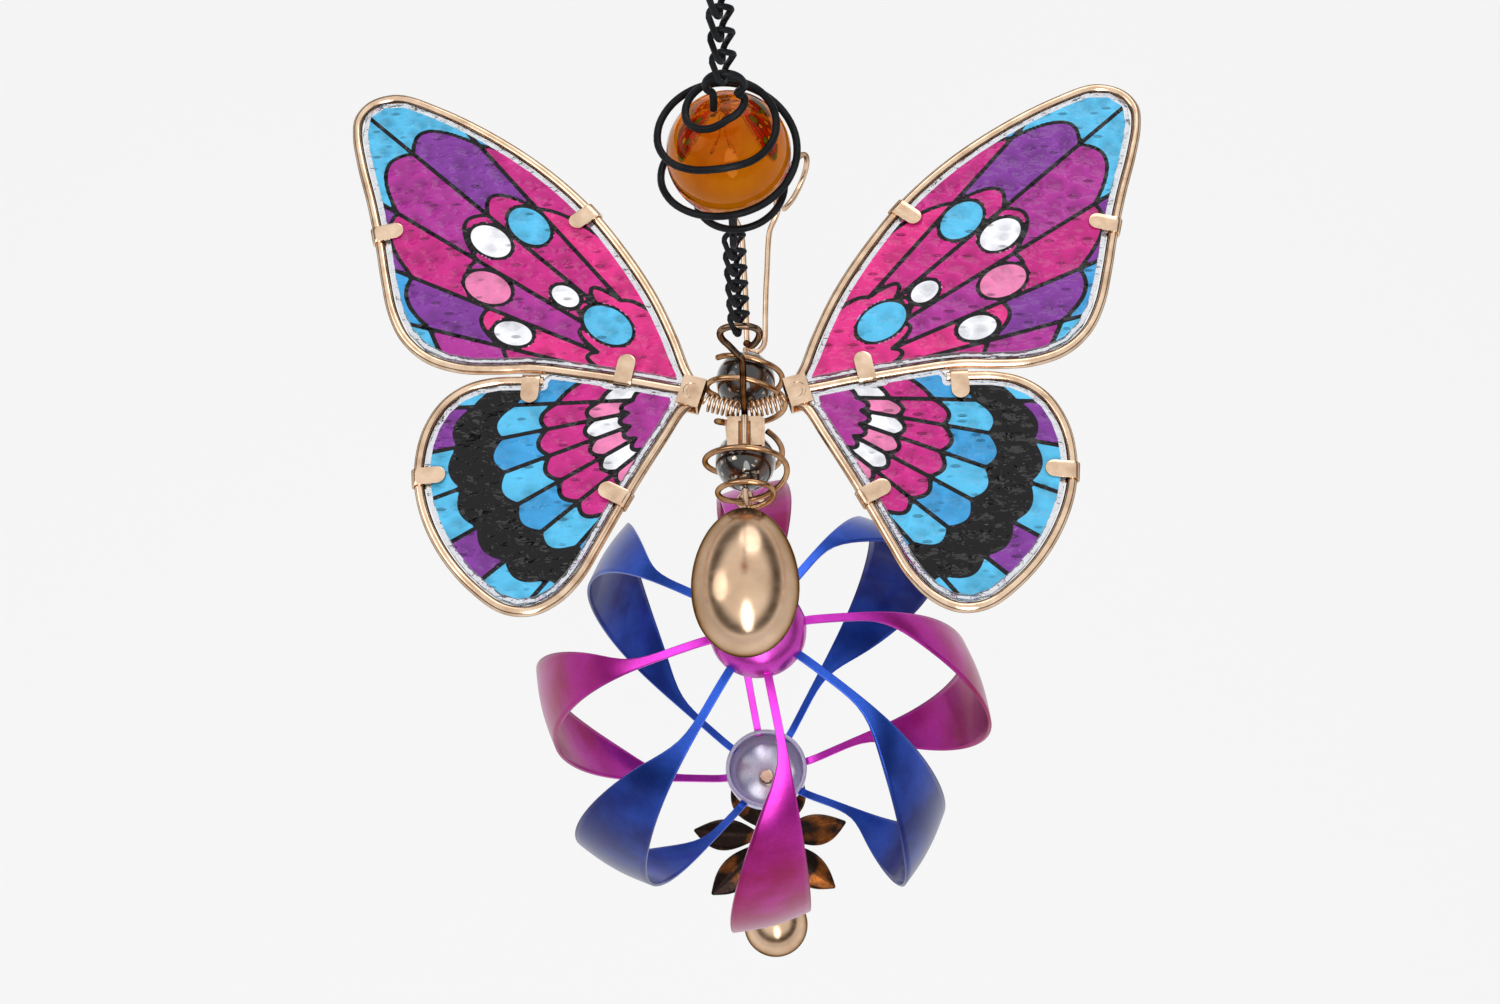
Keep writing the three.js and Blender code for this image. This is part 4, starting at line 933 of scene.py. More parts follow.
class SweptWire(Grower):
    """Sweeps a round wire along a line of points."""

    INPUTS = {
        "Line": "NodeSocketGeometry",
        "Radius": "NodeSocketFloat",
        "Sides": "NodeSocketInt",
        "Steps": "NodeSocketInt",
        "Finish": "NodeSocketMaterial",
    }

    def __init__(self) -> None:
        """Builds the tree."""
        super().__init__("SweptWire", self.INPUTS, "Wire")
        curve = self.add("GeometryNodeMeshToCurve", Mesh=self.start["Line"])
        kind = self.add("GeometryNodeCurveSplineType", Curve=curve.outputs["Curve"])
        kind.spline_type = "CATMULL_ROM"
        finer = self.add(
            "GeometryNodeSetSplineResolution", Geometry=kind.outputs["Curve"], Resolution=self.start["Steps"]
        )
        section = self.add(
            "GeometryNodeCurvePrimitiveCircle", Resolution=self.start["Sides"], Radius=self.start["Radius"]
        )
        swept = self.add(
            "GeometryNodeCurveToMesh", Fill_Caps=True,
            Curve=finer.outputs["Geometry"], Profile_Curve=section.outputs["Curve"],
        )
        self.end(swept.outputs["Mesh"])

    def sweep(self, name: str, line: list[Vector], radius: float, finish: bpy.types.Material,
              closed: bool = False, sides: int = 16, steps: int = 4) -> bpy.types.Object:
        """Sweeps one wire.

        Args:
            name: The piece's name.
            line: The points of its middle line.
            radius: The wire's radius.
            finish: Its material.
            closed: Whether the line joins up with its start.
            sides: The sides of its section.
            steps: The steps between two points.

        Returns:
            The wire as a plain mesh object.
        """
        count = len(line)
        edges = [(i, i + 1) for i in range(count - 1)]
        if closed:
            edges.append((count - 1, 0))
        mesh = bpy.data.meshes.new(f"{name}_line")
        mesh.from_pydata([tuple(point) for point in line], edges, [])
        return self.grow(name, mesh, Radius=radius, Sides=sides, Steps=steps, Finish=finish)


class SpreadCopies(Grower):
    """Sets copies of a mesh on points, each turned as its point says."""

    TURN = "turn"
    INPUTS = {
        "Points": "NodeSocketGeometry",
        "Copy": "NodeSocketObject",
        "Finish": "NodeSocketMaterial",
    }

    def __init__(self) -> None:
        """Builds the tree."""
        super().__init__("SpreadCopies", self.INPUTS, "Copies")
        source = self.add("GeometryNodeObjectInfo", Object=self.start["Copy"])
        turn = self.add("GeometryNodeInputNamedAttribute", Name=self.TURN)
        turn.data_type = "FLOAT"
        about_z = self.add("ShaderNodeCombineXYZ", Z=turn.outputs["Attribute"])
        copies = self.add(
            "GeometryNodeInstanceOnPoints", Points=self.start["Points"],
            Instance=source.outputs["Geometry"], Rotation=about_z.outputs["Vector"],
        )
        self.end(copies.outputs["Instances"])

    def spread(self, name: str, copy: bpy.types.Object, places: list[Vector], turns: list[float],
               finish: bpy.types.Material) -> bpy.types.Object:
        """Sets the copies.

        Args:
            name: The piece's name.
            copy: The object to copy, which is removed afterwards.
            places: Where the copies stand.
            turns: Each copy's turn about the vertical, in radians.
            finish: Their material.

        Returns:
            The copies as one plain mesh object.
        """
        mesh = bpy.data.meshes.new(f"{name}_points")
        mesh.from_pydata([tuple(place) for place in places], [], [])
        mesh.attributes.new(self.TURN, "FLOAT", "POINT").data.foreach_set("value", turns)
        made = self.grow(name, mesh, Copy=copy, Finish=finish)
        bpy.data.objects.remove(copy)
        return made


def shown(name: str, mesh: bpy.types.Mesh, smooth: bool = True) -> bpy.types.Object:
    """Puts a mesh into the scene.

    Args:
        name: The piece's name.
        mesh: Its mesh.
        smooth: Whether its faces are shaded smooth.

    Returns:
        The object.
    """
    mesh.polygons.foreach_set("use_smooth", [smooth] * len(mesh.polygons))
    piece = bpy.data.objects.new(name, mesh)
    bpy.context.scene.collection.objects.link(piece)
    return piece


def dressed(piece: bpy.types.Object, finish: bpy.types.Material) -> bpy.types.Object:
    """Gives a piece one finish.

    Args:
        piece: The piece.
        finish: Its material.

    Returns:
        The piece.
    """
    piece.data.materials.clear()
    piece.data.materials.append(finish)
    return piece


def baked(piece: bpy.types.Object) -> bpy.types.Object:
    """Turns a piece with modifiers into a plain mesh.

    Args:
        piece: The piece.

    Returns:
        The same object with its final mesh.
    """
    mesh = final_mesh(piece)
    piece.modifiers.clear()
    piece.data = mesh
    return piece


def seated(piece: bpy.types.Object, *nodes: str) -> bpy.types.Object:
    """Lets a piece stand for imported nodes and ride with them.

    Args:
        piece: The piece.
        nodes: The nodes that it stands for.

    Returns:
        The piece.
    """
    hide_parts(*nodes)
    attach(piece, frame["nodes"][nodes[0]]["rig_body"])
    log.info("%s: %d faces", piece.name, len(piece.data.polygons))
    return piece


def lathe(name: str, profile: list[Span], centre: Vector, finish: bpy.types.Material,
          axis: Axis = Axis.UPRIGHT, segments: int = 72) -> bpy.types.Object:
    """Turns a closed body from its profile.

    Args:
        name: The piece's name.
        profile: Radius and place along the axis, from the low end to the high end.
        centre: The middle of the turned body.
        finish: Its material.
        axis: The way that its axis runs.
        segments: The number of steps round the axis.

    Returns:
        The piece.
    """
    mesh = bpy.data.meshes.new(name)
    form = bmesh.new()
    upright = axis is Axis.UPRIGHT
    rows = []
    for radius, along in profile:
        row = []
        for k in range(segments if radius > 0 else 1):
            angle = 2 * math.pi * k / segments
            side, rise = radius * math.cos(angle), radius * math.sin(angle)
            offset = Vector((side, rise, along)) if upright else Vector((side, along, -rise))
            row.append(form.verts.new(centre + offset))
        rows.append(row)
    for low, high in zip(rows, rows[1:]):
        for k in range(segments):
            n = (k + 1) % segments
            if len(low) == 1 and len(high) > 1:
                form.faces.new((low[0], high[n], high[k]))
            elif len(high) == 1 and len(low) > 1:
                form.faces.new((low[k], low[n], high[0]))
            elif len(low) > 1:
                form.faces.new((low[k], low[n], high[n], high[k]))
    bmesh.ops.recalc_face_normals(form, faces=form.faces)
    form.to_mesh(mesh)
    form.free()
    return dressed(shown(name, mesh), finish)


def worked(name: str, node: str, finish: bpy.types.Material,
           work: Callable[[bmesh.types.BMesh], None]) -> bpy.types.Object:
    """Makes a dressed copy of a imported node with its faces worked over.

    Args:
        name: The piece's name.
        node: The node's name.
        finish: The copy's material.
        work: What is done to its faces.

    Returns:
        The copy.
    """
    points, faces = welded(node)
    mesh = bpy.data.meshes.new(name)
    mesh.from_pydata([tuple(p) for p in points], [], faces)
    form = bmesh.new()
    form.from_mesh(mesh)
    work(form)
    form.to_mesh(mesh)
    form.free()
    return dressed(shown(name, mesh), finish)


def refined(name: str, node: str, finish: bpy.types.Material, swell: float = 0.0,
            sharp_degrees: float = 50.0) -> bpy.types.Object:
    """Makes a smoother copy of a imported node.

    Args:
        name: The piece's name.
        node: The node's name.
        finish: The copy's material.
        swell: How far the divided form is moved out again, in metres.
        sharp_degrees: Edges sharper than this stay sharp.

    Returns:
        The copy.
    """
    def prepare(form: bmesh.types.BMesh) -> None:
        """Joins the triangles of a face and creases the sharp edges.

        Args:
            form: The node's faces.
        """
        bmesh.ops.join_triangles(
            form, faces=form.faces, angle_face_threshold=JOIN_ANGLE, angle_shape_threshold=JOIN_ANGLE
        )
        crease = form.edges.layers.float.new("crease_edge")
        for edge in form.edges:
            if len(edge.link_faces) == 2 and edge.calc_face_angle(0) > math.radians(sharp_degrees):
                edge[crease] = 1.0

    piece = worked(name, node, finish, prepare)
    divide = piece.modifiers.new("divide", "SUBSURF")
    divide.levels = DIVIDE_LEVELS
    divide.render_levels = DIVIDE_LEVELS
    if swell:
        push = piece.modifiers.new("swell", "DISPLACE")
        push.strength = swell
        push.mid_level = 0.0
    return baked(piece)


def bevelled(name: str, node: str, finish: bpy.types.Material, width: float) -> bpy.types.Object:
    """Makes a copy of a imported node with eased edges.

    Args:
        name: The piece's name.
        node: The node's name.
        finish: The copy's material.
        width: The width of the eased edge.

    Returns:
        The copy.
    """
    def flatten(form: bmesh.types.BMesh) -> None:
        """Joins the triangles that lie in one plane.

        Args:
            form: The node's faces.
        """
        bmesh.ops.dissolve_limit(form, angle_limit=FLAT_ANGLE, verts=form.verts, edges=form.edges)

    piece = worked(name, node, finish, flatten)
    ease = piece.modifiers.new("ease", "BEVEL")
    ease.width = width
    ease.segments = EASED_STEPS
    ease.limit_method = "ANGLE"
    ease.angle_limit = EASED_ANGLE
    ease.harden_normals = True
    return baked(piece)


def bored_profile(radius: float, bore: float, rings: int = 40) -> list[Span]:
    """The profile of a ball with a bore through it.

    Args:
        radius: The ball's radius.
        bore: The bore's radius.
        rings: The number of steps from pole to pole.

    Returns:
        Radius and place along the axis.
    """
    start = math.asin(bore / radius)
    steps = [start + (math.pi - 2 * start) * i / rings for i in range(rings + 1)]
    profile = [(radius * math.sin(t), -radius * math.cos(t)) for t in steps]
    return profile + [profile[0]]


def moulded_profile(radius: float, seam_depth: float = 0.14 * MM, seam_width: float = 0.5 * MM,
                    dimple_depth: float = 0.25 * MM, dimple_width: float = 2.2 * MM,
                    rings: int = 72) -> list[Span]:
    """The profile of a moulded ball, with a fine seam round its middle and a dimple at each pole.

    Args:
        radius: The ball's radius.
        seam_depth: The seam's depth.
        seam_width: Half the seam's width.
        dimple_depth: A dimple's depth.
        dimple_width: Half a dimple's width.
        rings: The number of steps from pole to pole.

    Returns:
        Radius and place along the axis.
    """
    profile = []
    for i in range(rings + 1):
        angle = math.pi * i / rings
        across, rise = radius * math.sin(angle), -math.cos(angle)
        seam = seam_depth * math.exp(-((rise * radius / seam_width) ** 2))
        dimple = dimple_depth * math.exp(-((across / dimple_width) ** 2))
        profile.append((across - seam, rise * (radius - dimple)))
    profile[0] = (0.0, profile[0][1])
    profile[-1] = (0.0, profile[-1][1])
    return profile


def box_middle(node: str) -> Vector:
    """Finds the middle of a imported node's box.

    Args:
        node: The node's name.

    Returns:
        The middle.
    """
    low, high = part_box(node)
    return (low + high) / 2


@dataclass
class TopHanging:
    """The S-hook, the twisted chains and the caged ball."""

    wires: SweptWire
    finishes: Finishes
    hook_wire_radius: float = 0.9 * MM
    link_wire_radius: float = 0.6 * MM
    link_length: float = 8.0 * MM
    link_width: float = 4.3 * MM
    link_points: int = 36
    link_steps: int = 2
    cage_wire_radius: float = 0.75 * MM
    chains: tuple[tuple[str, int], ...] = (("top_link", 5), ("mid_link", 6))

    def link_line(self, node: str) -> list[Vector]:
        """The middle line of one twisted link.

        Args:
            node: The link's node.

        Returns:
            Its points, from a racetrack whose lower end is a quarter turn from its upper end.
        """
        middle = box_middle(node)
        bow = self.link_width / 2
        straight = self.link_length / 2 - bow
        line = []
        for k in range(self.link_points):
            angle = 2 * math.pi * (k + 0.5) / self.link_points
            across = bow * math.cos(angle)
            along = bow * math.sin(angle) + math.copysign(straight, math.sin(angle))
            twist = (1 - along / (self.link_length / 2)) * math.pi / 4
            line.append(middle + Vector((across * math.cos(twist), across * math.sin(twist), along)))
        return line

    def build(self) -> None:
        """Builds and dresses the pieces."""
        black = self.finishes.black
        line = middle_line("top_hook", self.hook_wire_radius)
        seated(self.wires.sweep("S_hook", line, self.hook_wire_radius, black), "top_hook")
        for prefix, count in self.chains:
            for k in range(1, count + 1):
                node = f"{prefix}_{k}"
                link = self.wires.sweep(
                    f"{node}_round", self.link_line(node), self.link_wire_radius, black,
                    closed=True, steps=self.link_steps,
                )
                seated(link, node)
        line = middle_line("ball_cage", self.cage_wire_radius)
        seated(self.wires.sweep("cage_winding", line, self.cage_wire_radius, black), "ball_cage")
        low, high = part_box("amber_ball")
        profile = moulded_profile((high.z - low.z) / 2)
        ball = lathe("amber_glass_ball", profile, (low + high) / 2, self.finishes.amber)
        seated(ball, "amber_ball")


@dataclass
class ButterflyBody:
    """What the wings hang on: rods, springs, clip, beads with their wires, egg and antennae."""

    wires: SweptWire
    finishes: Finishes
    rod_radius: float = 0.8 * MM
    spring_wire_radius: float = 0.36 * MM
    wrap_wire_radius: float = 0.72 * MM
    antenna_radius: float = 0.7 * MM
    body_rod_radius: float = 0.7 * MM
    bead_bore: float = 0.85 * MM
    body_rod_steps: int = 4
    spring_sides: int = 10
    spring_steps: int = 5
    spring_held_share: float = 0.15
    egg_taper: float = 0.08
    egg_rings: int = 56
    egg_segments: int = 96
    clip_edge: float = 0.18 * MM

    def build(self) -> None:
        """Builds and dresses the pieces."""
        looks = self.finishes
        for name, node, radius, finish in (
            ("hanger_loop", "hanger_rod", self.rod_radius, looks.dark_gold),
            ("lower_rod_eye", "lower_rod", self.rod_radius, looks.gold),
            ("antennae_wire", "antennae", self.antenna_radius, looks.gold),
            ("head_winding", "head_wire", self.wrap_wire_radius, looks.copper),
            ("thorax_winding", "thorax_wire", self.wrap_wire_radius, looks.copper),
        ):
            seated(self.wires.sweep(name, middle_line(node, radius), radius, finish), node)
        seated(bevelled("folded_clip", "centre_clip", looks.gold, self.clip_edge), "centre_clip")
        for side in Side:
            self.build_spring(side)
        for name, node in (("head_glass", "head_bead"), ("thorax_glass", "thorax_bead")):
            low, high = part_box(node)
            profile = bored_profile((high.x - low.x) / 2, self.bead_bore)
            seated(lathe(name, profile, (low + high) / 2, looks.bead, Axis.LENGTHWISE), node)
        self.build_rod()
        self.build_egg()

    def build_spring(self, side: Side) -> None:
        """Builds a wing spring, which bends from the body to the wing.

        Args:
            side: The spring's side.
        """
        node = f"spring_{side.word}"
        line = middle_line(node, self.spring_wire_radius)
        if abs(line[0].x) > abs(line[-1].x):
            line.reverse()
        coil = self.wires.sweep(
            f"{node}_coil", line, self.spring_wire_radius, self.finishes.spring_gold,
            sides=self.spring_sides, steps=self.spring_steps,
        )
        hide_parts(node)
        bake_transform(coil)
        log.info("%s: %d faces", coil.name, len(coil.data.polygons))

    def build_rod(self) -> None:
        """Builds the straight rod through the beads."""
        low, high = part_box("body_rod")
        middle = (low + high) / 2
        steps = self.body_rod_steps
        along = [low.y + (high.y - low.y) * k / steps for k in range(steps + 1)]
        line = [Vector((middle.x, y, middle.z)) for y in along]
        rod = self.wires.sweep("body_rod_round", line, self.body_rod_radius, self.finishes.gold)
        seated(rod, "body_rod")

    def build_egg(self) -> None:
        """Builds the polished egg, a little fuller behind."""
        low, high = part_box("abdomen_egg")
        half = (high.y - low.y) / 2
        radius = (high.x - low.x) / 2
        profile = []
        for k in range(self.egg_rings + 1):
            polar = math.pi * k / self.egg_rings
            along = -math.cos(polar)
            profile.append((radius * math.sin(polar) * (1 - self.egg_taper * along), half * along))
        profile[0] = (0.0, -half)
        profile[-1] = (0.0, half)
        egg = lathe(
            "polished_egg", profile, (low + high) / 2, self.finishes.champagne,
            Axis.LENGTHWISE, self.egg_segments,
        )
        seated(egg, "abdomen_egg")


@dataclass
class Pane:
    """One printed pane, filled with fine triangles that carry the design."""

    FILL = "print_fill"
    LINE = "print_line"
    RIM = "print_rim"

    node: str
    finishes: Finishes
    spacing: float = 0.62 * MM
    inset_share: float = 0.6
    tolerance: float = 1e-7
    border: float = 1.25 * MM

    def outline(self) -> tuple[np.ndarray, float, float]:
        """Measures the pane's upper outline.

        Returns:
            The outline's corners in order, and the heights of its lower and upper face.
        """
        points, faces = welded(self.node)
        top = points[:, 2].max()
        bottom = points[:, 2].min()
        upper = [face for face in faces if all(abs(points[i, 2] - top) < WELD_DISTANCE for i in face)]
        edges = [edge for face in upper for edge in zip(face, face[1:] + face[:1])]
        both_ways = set(edges)
        follow = {a: b for a, b in edges if (b, a) not in both_ways}
        first = next(iter(follow))
        loop = [first]
        while follow[loop[-1]] != first:
            loop.append(follow[loop[-1]])
        return points[loop, :2], bottom, top

    def filled(self, outline: np.ndarray) -> tuple[np.ndarray, list[tuple[int, ...]]]:
        """Fills the outline with fine triangles.

        Args:
            outline: The outline's corners.

        Returns:
            The points and the triangles.
        """
        edge = []
        for a, b in zip(outline, np.roll(outline, -1, axis=0)):
            count = max(1, int(round(np.linalg.norm(b - a) / self.spacing)))
            edge.extend(a + (b - a) * k / count for k in range(count))
        edge = np.array(edge)
        low, high = edge.min(0), edge.max(0)
        columns = np.arange(low[0], high[0], self.spacing)
        rows = np.arange(low[1], high[1], self.spacing * math.sqrt(0.75))
        grid = np.array([
            (x + (j % 2) * self.spacing / 2, y) for j, y in enumerate(rows) for x in columns
        ])
        inner = grid[signed_distance(grid, edge) > self.inset_share * self.spacing]
        points = [Vector(p) for p in np.vstack([edge, inner])]
        ring = [(k, (k + 1) % len(edge)) for k in range(len(edge))]
        made = delaunay_2d_cdt(points, ring, [], FILL_INSIDE, self.tolerance)
        return np.array([tuple(p) for p in made[0]]), [tuple(face) for face in made[2]]

    def walled(self, points: np.ndarray, faces: list[tuple[int, ...]]) -> list[tuple[int, ...]]:
        """Makes a closed sheet of the filling: an upper face, a lower face and a wall.

        Args:
            points: The filling's points.
            faces: Its triangles.

        Returns:
            The sheet's faces, the lower points counted on after the upper ones.
        """
        count = len(points)
        sheet = []
        for a, b, c in faces:
            (ax, ay), (bx, by), (cx, cy) = points[a], points[b], points[c]
            if (bx - ax) * (cy - ay) - (by - ay) * (cx - ax) < 0:
                b, c = c, b
            sheet.append((a, b, c))
            sheet.append((c + count, b + count, a + count))
        used = {(face[k], face[(k + 1) % 3]) for face in sheet for k in range(3)}
        for a, b in sorted(used):
            if a < count and b < count and (b, a) not in used:
                sheet.append((b, a, a + count, b + count))
        return sheet

    def build(self, design: "WingDesign", side: Side) -> bpy.types.Object:
        """Builds the pane with its design.

        Args:
            design: The printed design.
            side: The wing's side.

        Returns:
            The piece.
        """
        outline, bottom, top = self.outline()
        points, faces = self.filled(outline)
        corners = [(x, y, top) for x, y in points] + [(x, y, bottom) for x, y in points]
        mesh = bpy.data.meshes.new(f"{self.node}_print")
        mesh.from_pydata(corners, [], self.walled(points, faces))
        fill, line = design.colours(points, side)
        rim = (signed_distance(points, outline) - self.border) / MM
        colour = np.ones((len(corners), 4), np.float32)
        colour[:, :3] = np.vstack([fill, fill])
        mesh.attributes.new(self.FILL, "FLOAT_COLOR", "POINT").data.foreach_set("color", colour.ravel())
        for name, values in ((self.LINE, line), (self.RIM, rim)):
            doubled = np.concatenate([values, values]).astype(np.float32)
            mesh.attributes.new(name, "FLOAT", "POINT").data.foreach_set("value", doubled)
        pane = dressed(shown(f"{self.node}_print", mesh, smooth=False), self.finishes.pane)
        return seated(pane, self.node)


def signed_distance(points: np.ndarray, outline: np.ndarray) -> np.ndarray:
    """Distance of points from a closed outline.

    Args:
        points: The points.
        outline: The outline's corners in order.

    Returns:
        The distances, above zero inside.
    """
    least = np.full(len(points), np.inf)
    inside = np.zeros(len(points), bool)
    for a, b in zip(outline, np.roll(outline, -1, axis=0)):
        run = b - a
        share = np.clip(((points - a) @ run) / max(run @ run, LEAST_SQUARE), 0, 1)
        gap = points - a - share[:, None] * run
        least = np.minimum(least, np.einsum("ij,ij->i", gap, gap))
        if a[1] != b[1]:
            crosses = (a[1] > points[:, 1]) != (b[1] > points[:, 1])
            at = a[0] + (points[:, 1] - a[1]) * run[0] / run[1]
            inside ^= crosses & (points[:, 0] < at)
    return np.where(inside, 1, -1) * np.sqrt(least)


@dataclass(frozen=True)
class Spot:
    """An oval of the print, placed in shares of the wing's reach from the root."""

    out: float
    ahead: float
    length: float
    turn_degrees: float
    ink: Ink
    width_share: float = 0.66
    gap_share: float = 0.8

    def radial(self, flat: np.ndarray, reach: float) -> np.ndarray:
        """Measures how far points lie from the oval's middle.

        Args:
            flat: Points from the root, on the right wing.
            reach: The wing's reach.

        Returns:
            The distances in shares of the oval's own reach that way, 1 on its edge.
        """
        offset = flat - np.array((self.out, self.ahead)) * reach
        turn = math.radians(self.turn_degrees)
        c, s = math.cos(turn), math.sin(turn)
        long = (offset[:, 0] * c + offset[:, 1] * s) / self.length
        wide = (offset[:, 1] * c - offset[:, 0] * s) / (self.length * self.width_share)
        return np.hypot(long, wide)


@dataclass
class WingDesign:
    """A stained-glass design of bands and veins that fan out from a wing's root."""

    root: Span
    reach: float
    vein_degrees: tuple[float, ...]
    bands: tuple[float, ...]
    scallop: float
    inks: tuple[tuple[Ink, ...], ...]
    outline: np.ndarray
    spots: tuple[Spot, ...] = ()
    solid_bands: tuple[int, ...] = ()
    vein_start: float = 0.0
    line_width: float = 1.0 * MM
    line_step: float = 0.25
    turn_limit: int = 90
    edge_window: float = 2.5
    smoothing: int = 9

    def reach_at(self, angle: np.ndarray) -> np.ndarray:
        """Measures the way from the root to the pane's edge, evened out along the edge.

        Args:
            angle: Directions in degrees.

        Returns:
            The way to the edge in metres.
        """
        edge = self.outline - np.array(self.root)
        edge_angle = np.degrees(np.arctan2(edge[:, 1], edge[:, 0]))
        edge_away = np.linalg.norm(edge, axis=1)
        degrees = np.arange(-self.turn_limit, self.turn_limit + 1)
        near = [edge_away[abs(edge_angle - d) < self.edge_window] for d in degrees]
        ways = np.array([away.max(initial=0.0) for away in near])
        known = ways > 0
        ways = np.interp(degrees, degrees[known], ways[known])
        width = 2 * self.smoothing + 1
        ways = np.convolve(np.pad(ways, self.smoothing, mode="edge"), np.full(width, 1 / width), "valid")
        return np.interp(angle, degrees, ways)

    def celled(self, angle: np.ndarray) -> tuple[np.ndarray, np.ndarray]:
        """Finds the cell between two veins and the scallop's height there.

        Args:
            angle: Directions in degrees.

        Returns:
            The cells and the scallop's share of the reach.
        """
        veins = np.array(self.vein_degrees)
        cell = np.clip(np.searchsorted(veins, angle) - 1, 0, len(veins) - 2)
        through = np.clip((angle - veins[cell]) / (veins[cell + 1] - veins[cell]), 0, 1)
        return cell, self.scallop * np.sin(math.pi * through)

    def from_bands(self, points: np.ndarray) -> np.ndarray:
        """Measures the distance to the nearest scalloped line.

        Args:
            points: Points from the root, on the right wing.

        Returns:
            The distances in metres.
        """
        angle = np.arange(-self.turn_limit, self.turn_limit, self.line_step)
        turn = np.radians(angle)
        reach, bulge = self.reach_at(angle), self.celled(angle)[1]
        nearest = np.full(len(points), self.reach)
        for band in self.bands:
            away = (band + bulge) * reach
            line = np.stack([away * np.cos(turn), away * np.sin(turn)], axis=1)
            gaps = np.linalg.norm(points[:, None, :] - line[None, :, :], axis=2)
            nearest = np.minimum(nearest, gaps.min(1))
        return nearest

    def colours(self, points: np.ndarray, side: Side) -> tuple[np.ndarray, np.ndarray]:
        """Works out the print.

        Args:
            points: Points on the pane.
            side: The wing's side.

        Returns:
            Linear colours, and the distance to the nearest line in millimetres, zero on it.
        """
        flat = points * np.array([side.sign, 1]) - np.array(self.root)
        angle = np.degrees(np.arctan2(flat[:, 1], flat[:, 0]))
        away = np.linalg.norm(flat, axis=1)
        share = away / self.reach_at(angle)
        cell, bulge = self.celled(angle)
        band = np.searchsorted(np.array(self.bands), share - bulge)
        table = [[ink.value[:3] for ink in row] for row in self.inks]
        fill = np.array([table[b][c % len(table[b])] for b, c in zip(band, cell)])
        gaps = np.abs(angle[:, None] - np.array(self.vein_degrees)[None, :])
        solid = np.isin(band, np.array(self.solid_bands, int))
        veined = (share > self.vein_start) & ~solid
        to_vein = np.where(veined, np.radians(gaps.min(1)) * away, self.reach)
        line = np.minimum(to_vein, self.from_bands(flat)) - self.line_width / 2
        for spot in self.spots:
            radial = spot.radial(flat, self.reach)
            edge = (radial - 1) * spot.length * spot.gap_share
            fill = np.where((radial < 1)[:, None], np.array(spot.ink.value[:3]), fill)
            line = np.where(edge < self.line_width / 2, np.abs(edge) - self.line_width / 2, line)
        return fill, line / MM


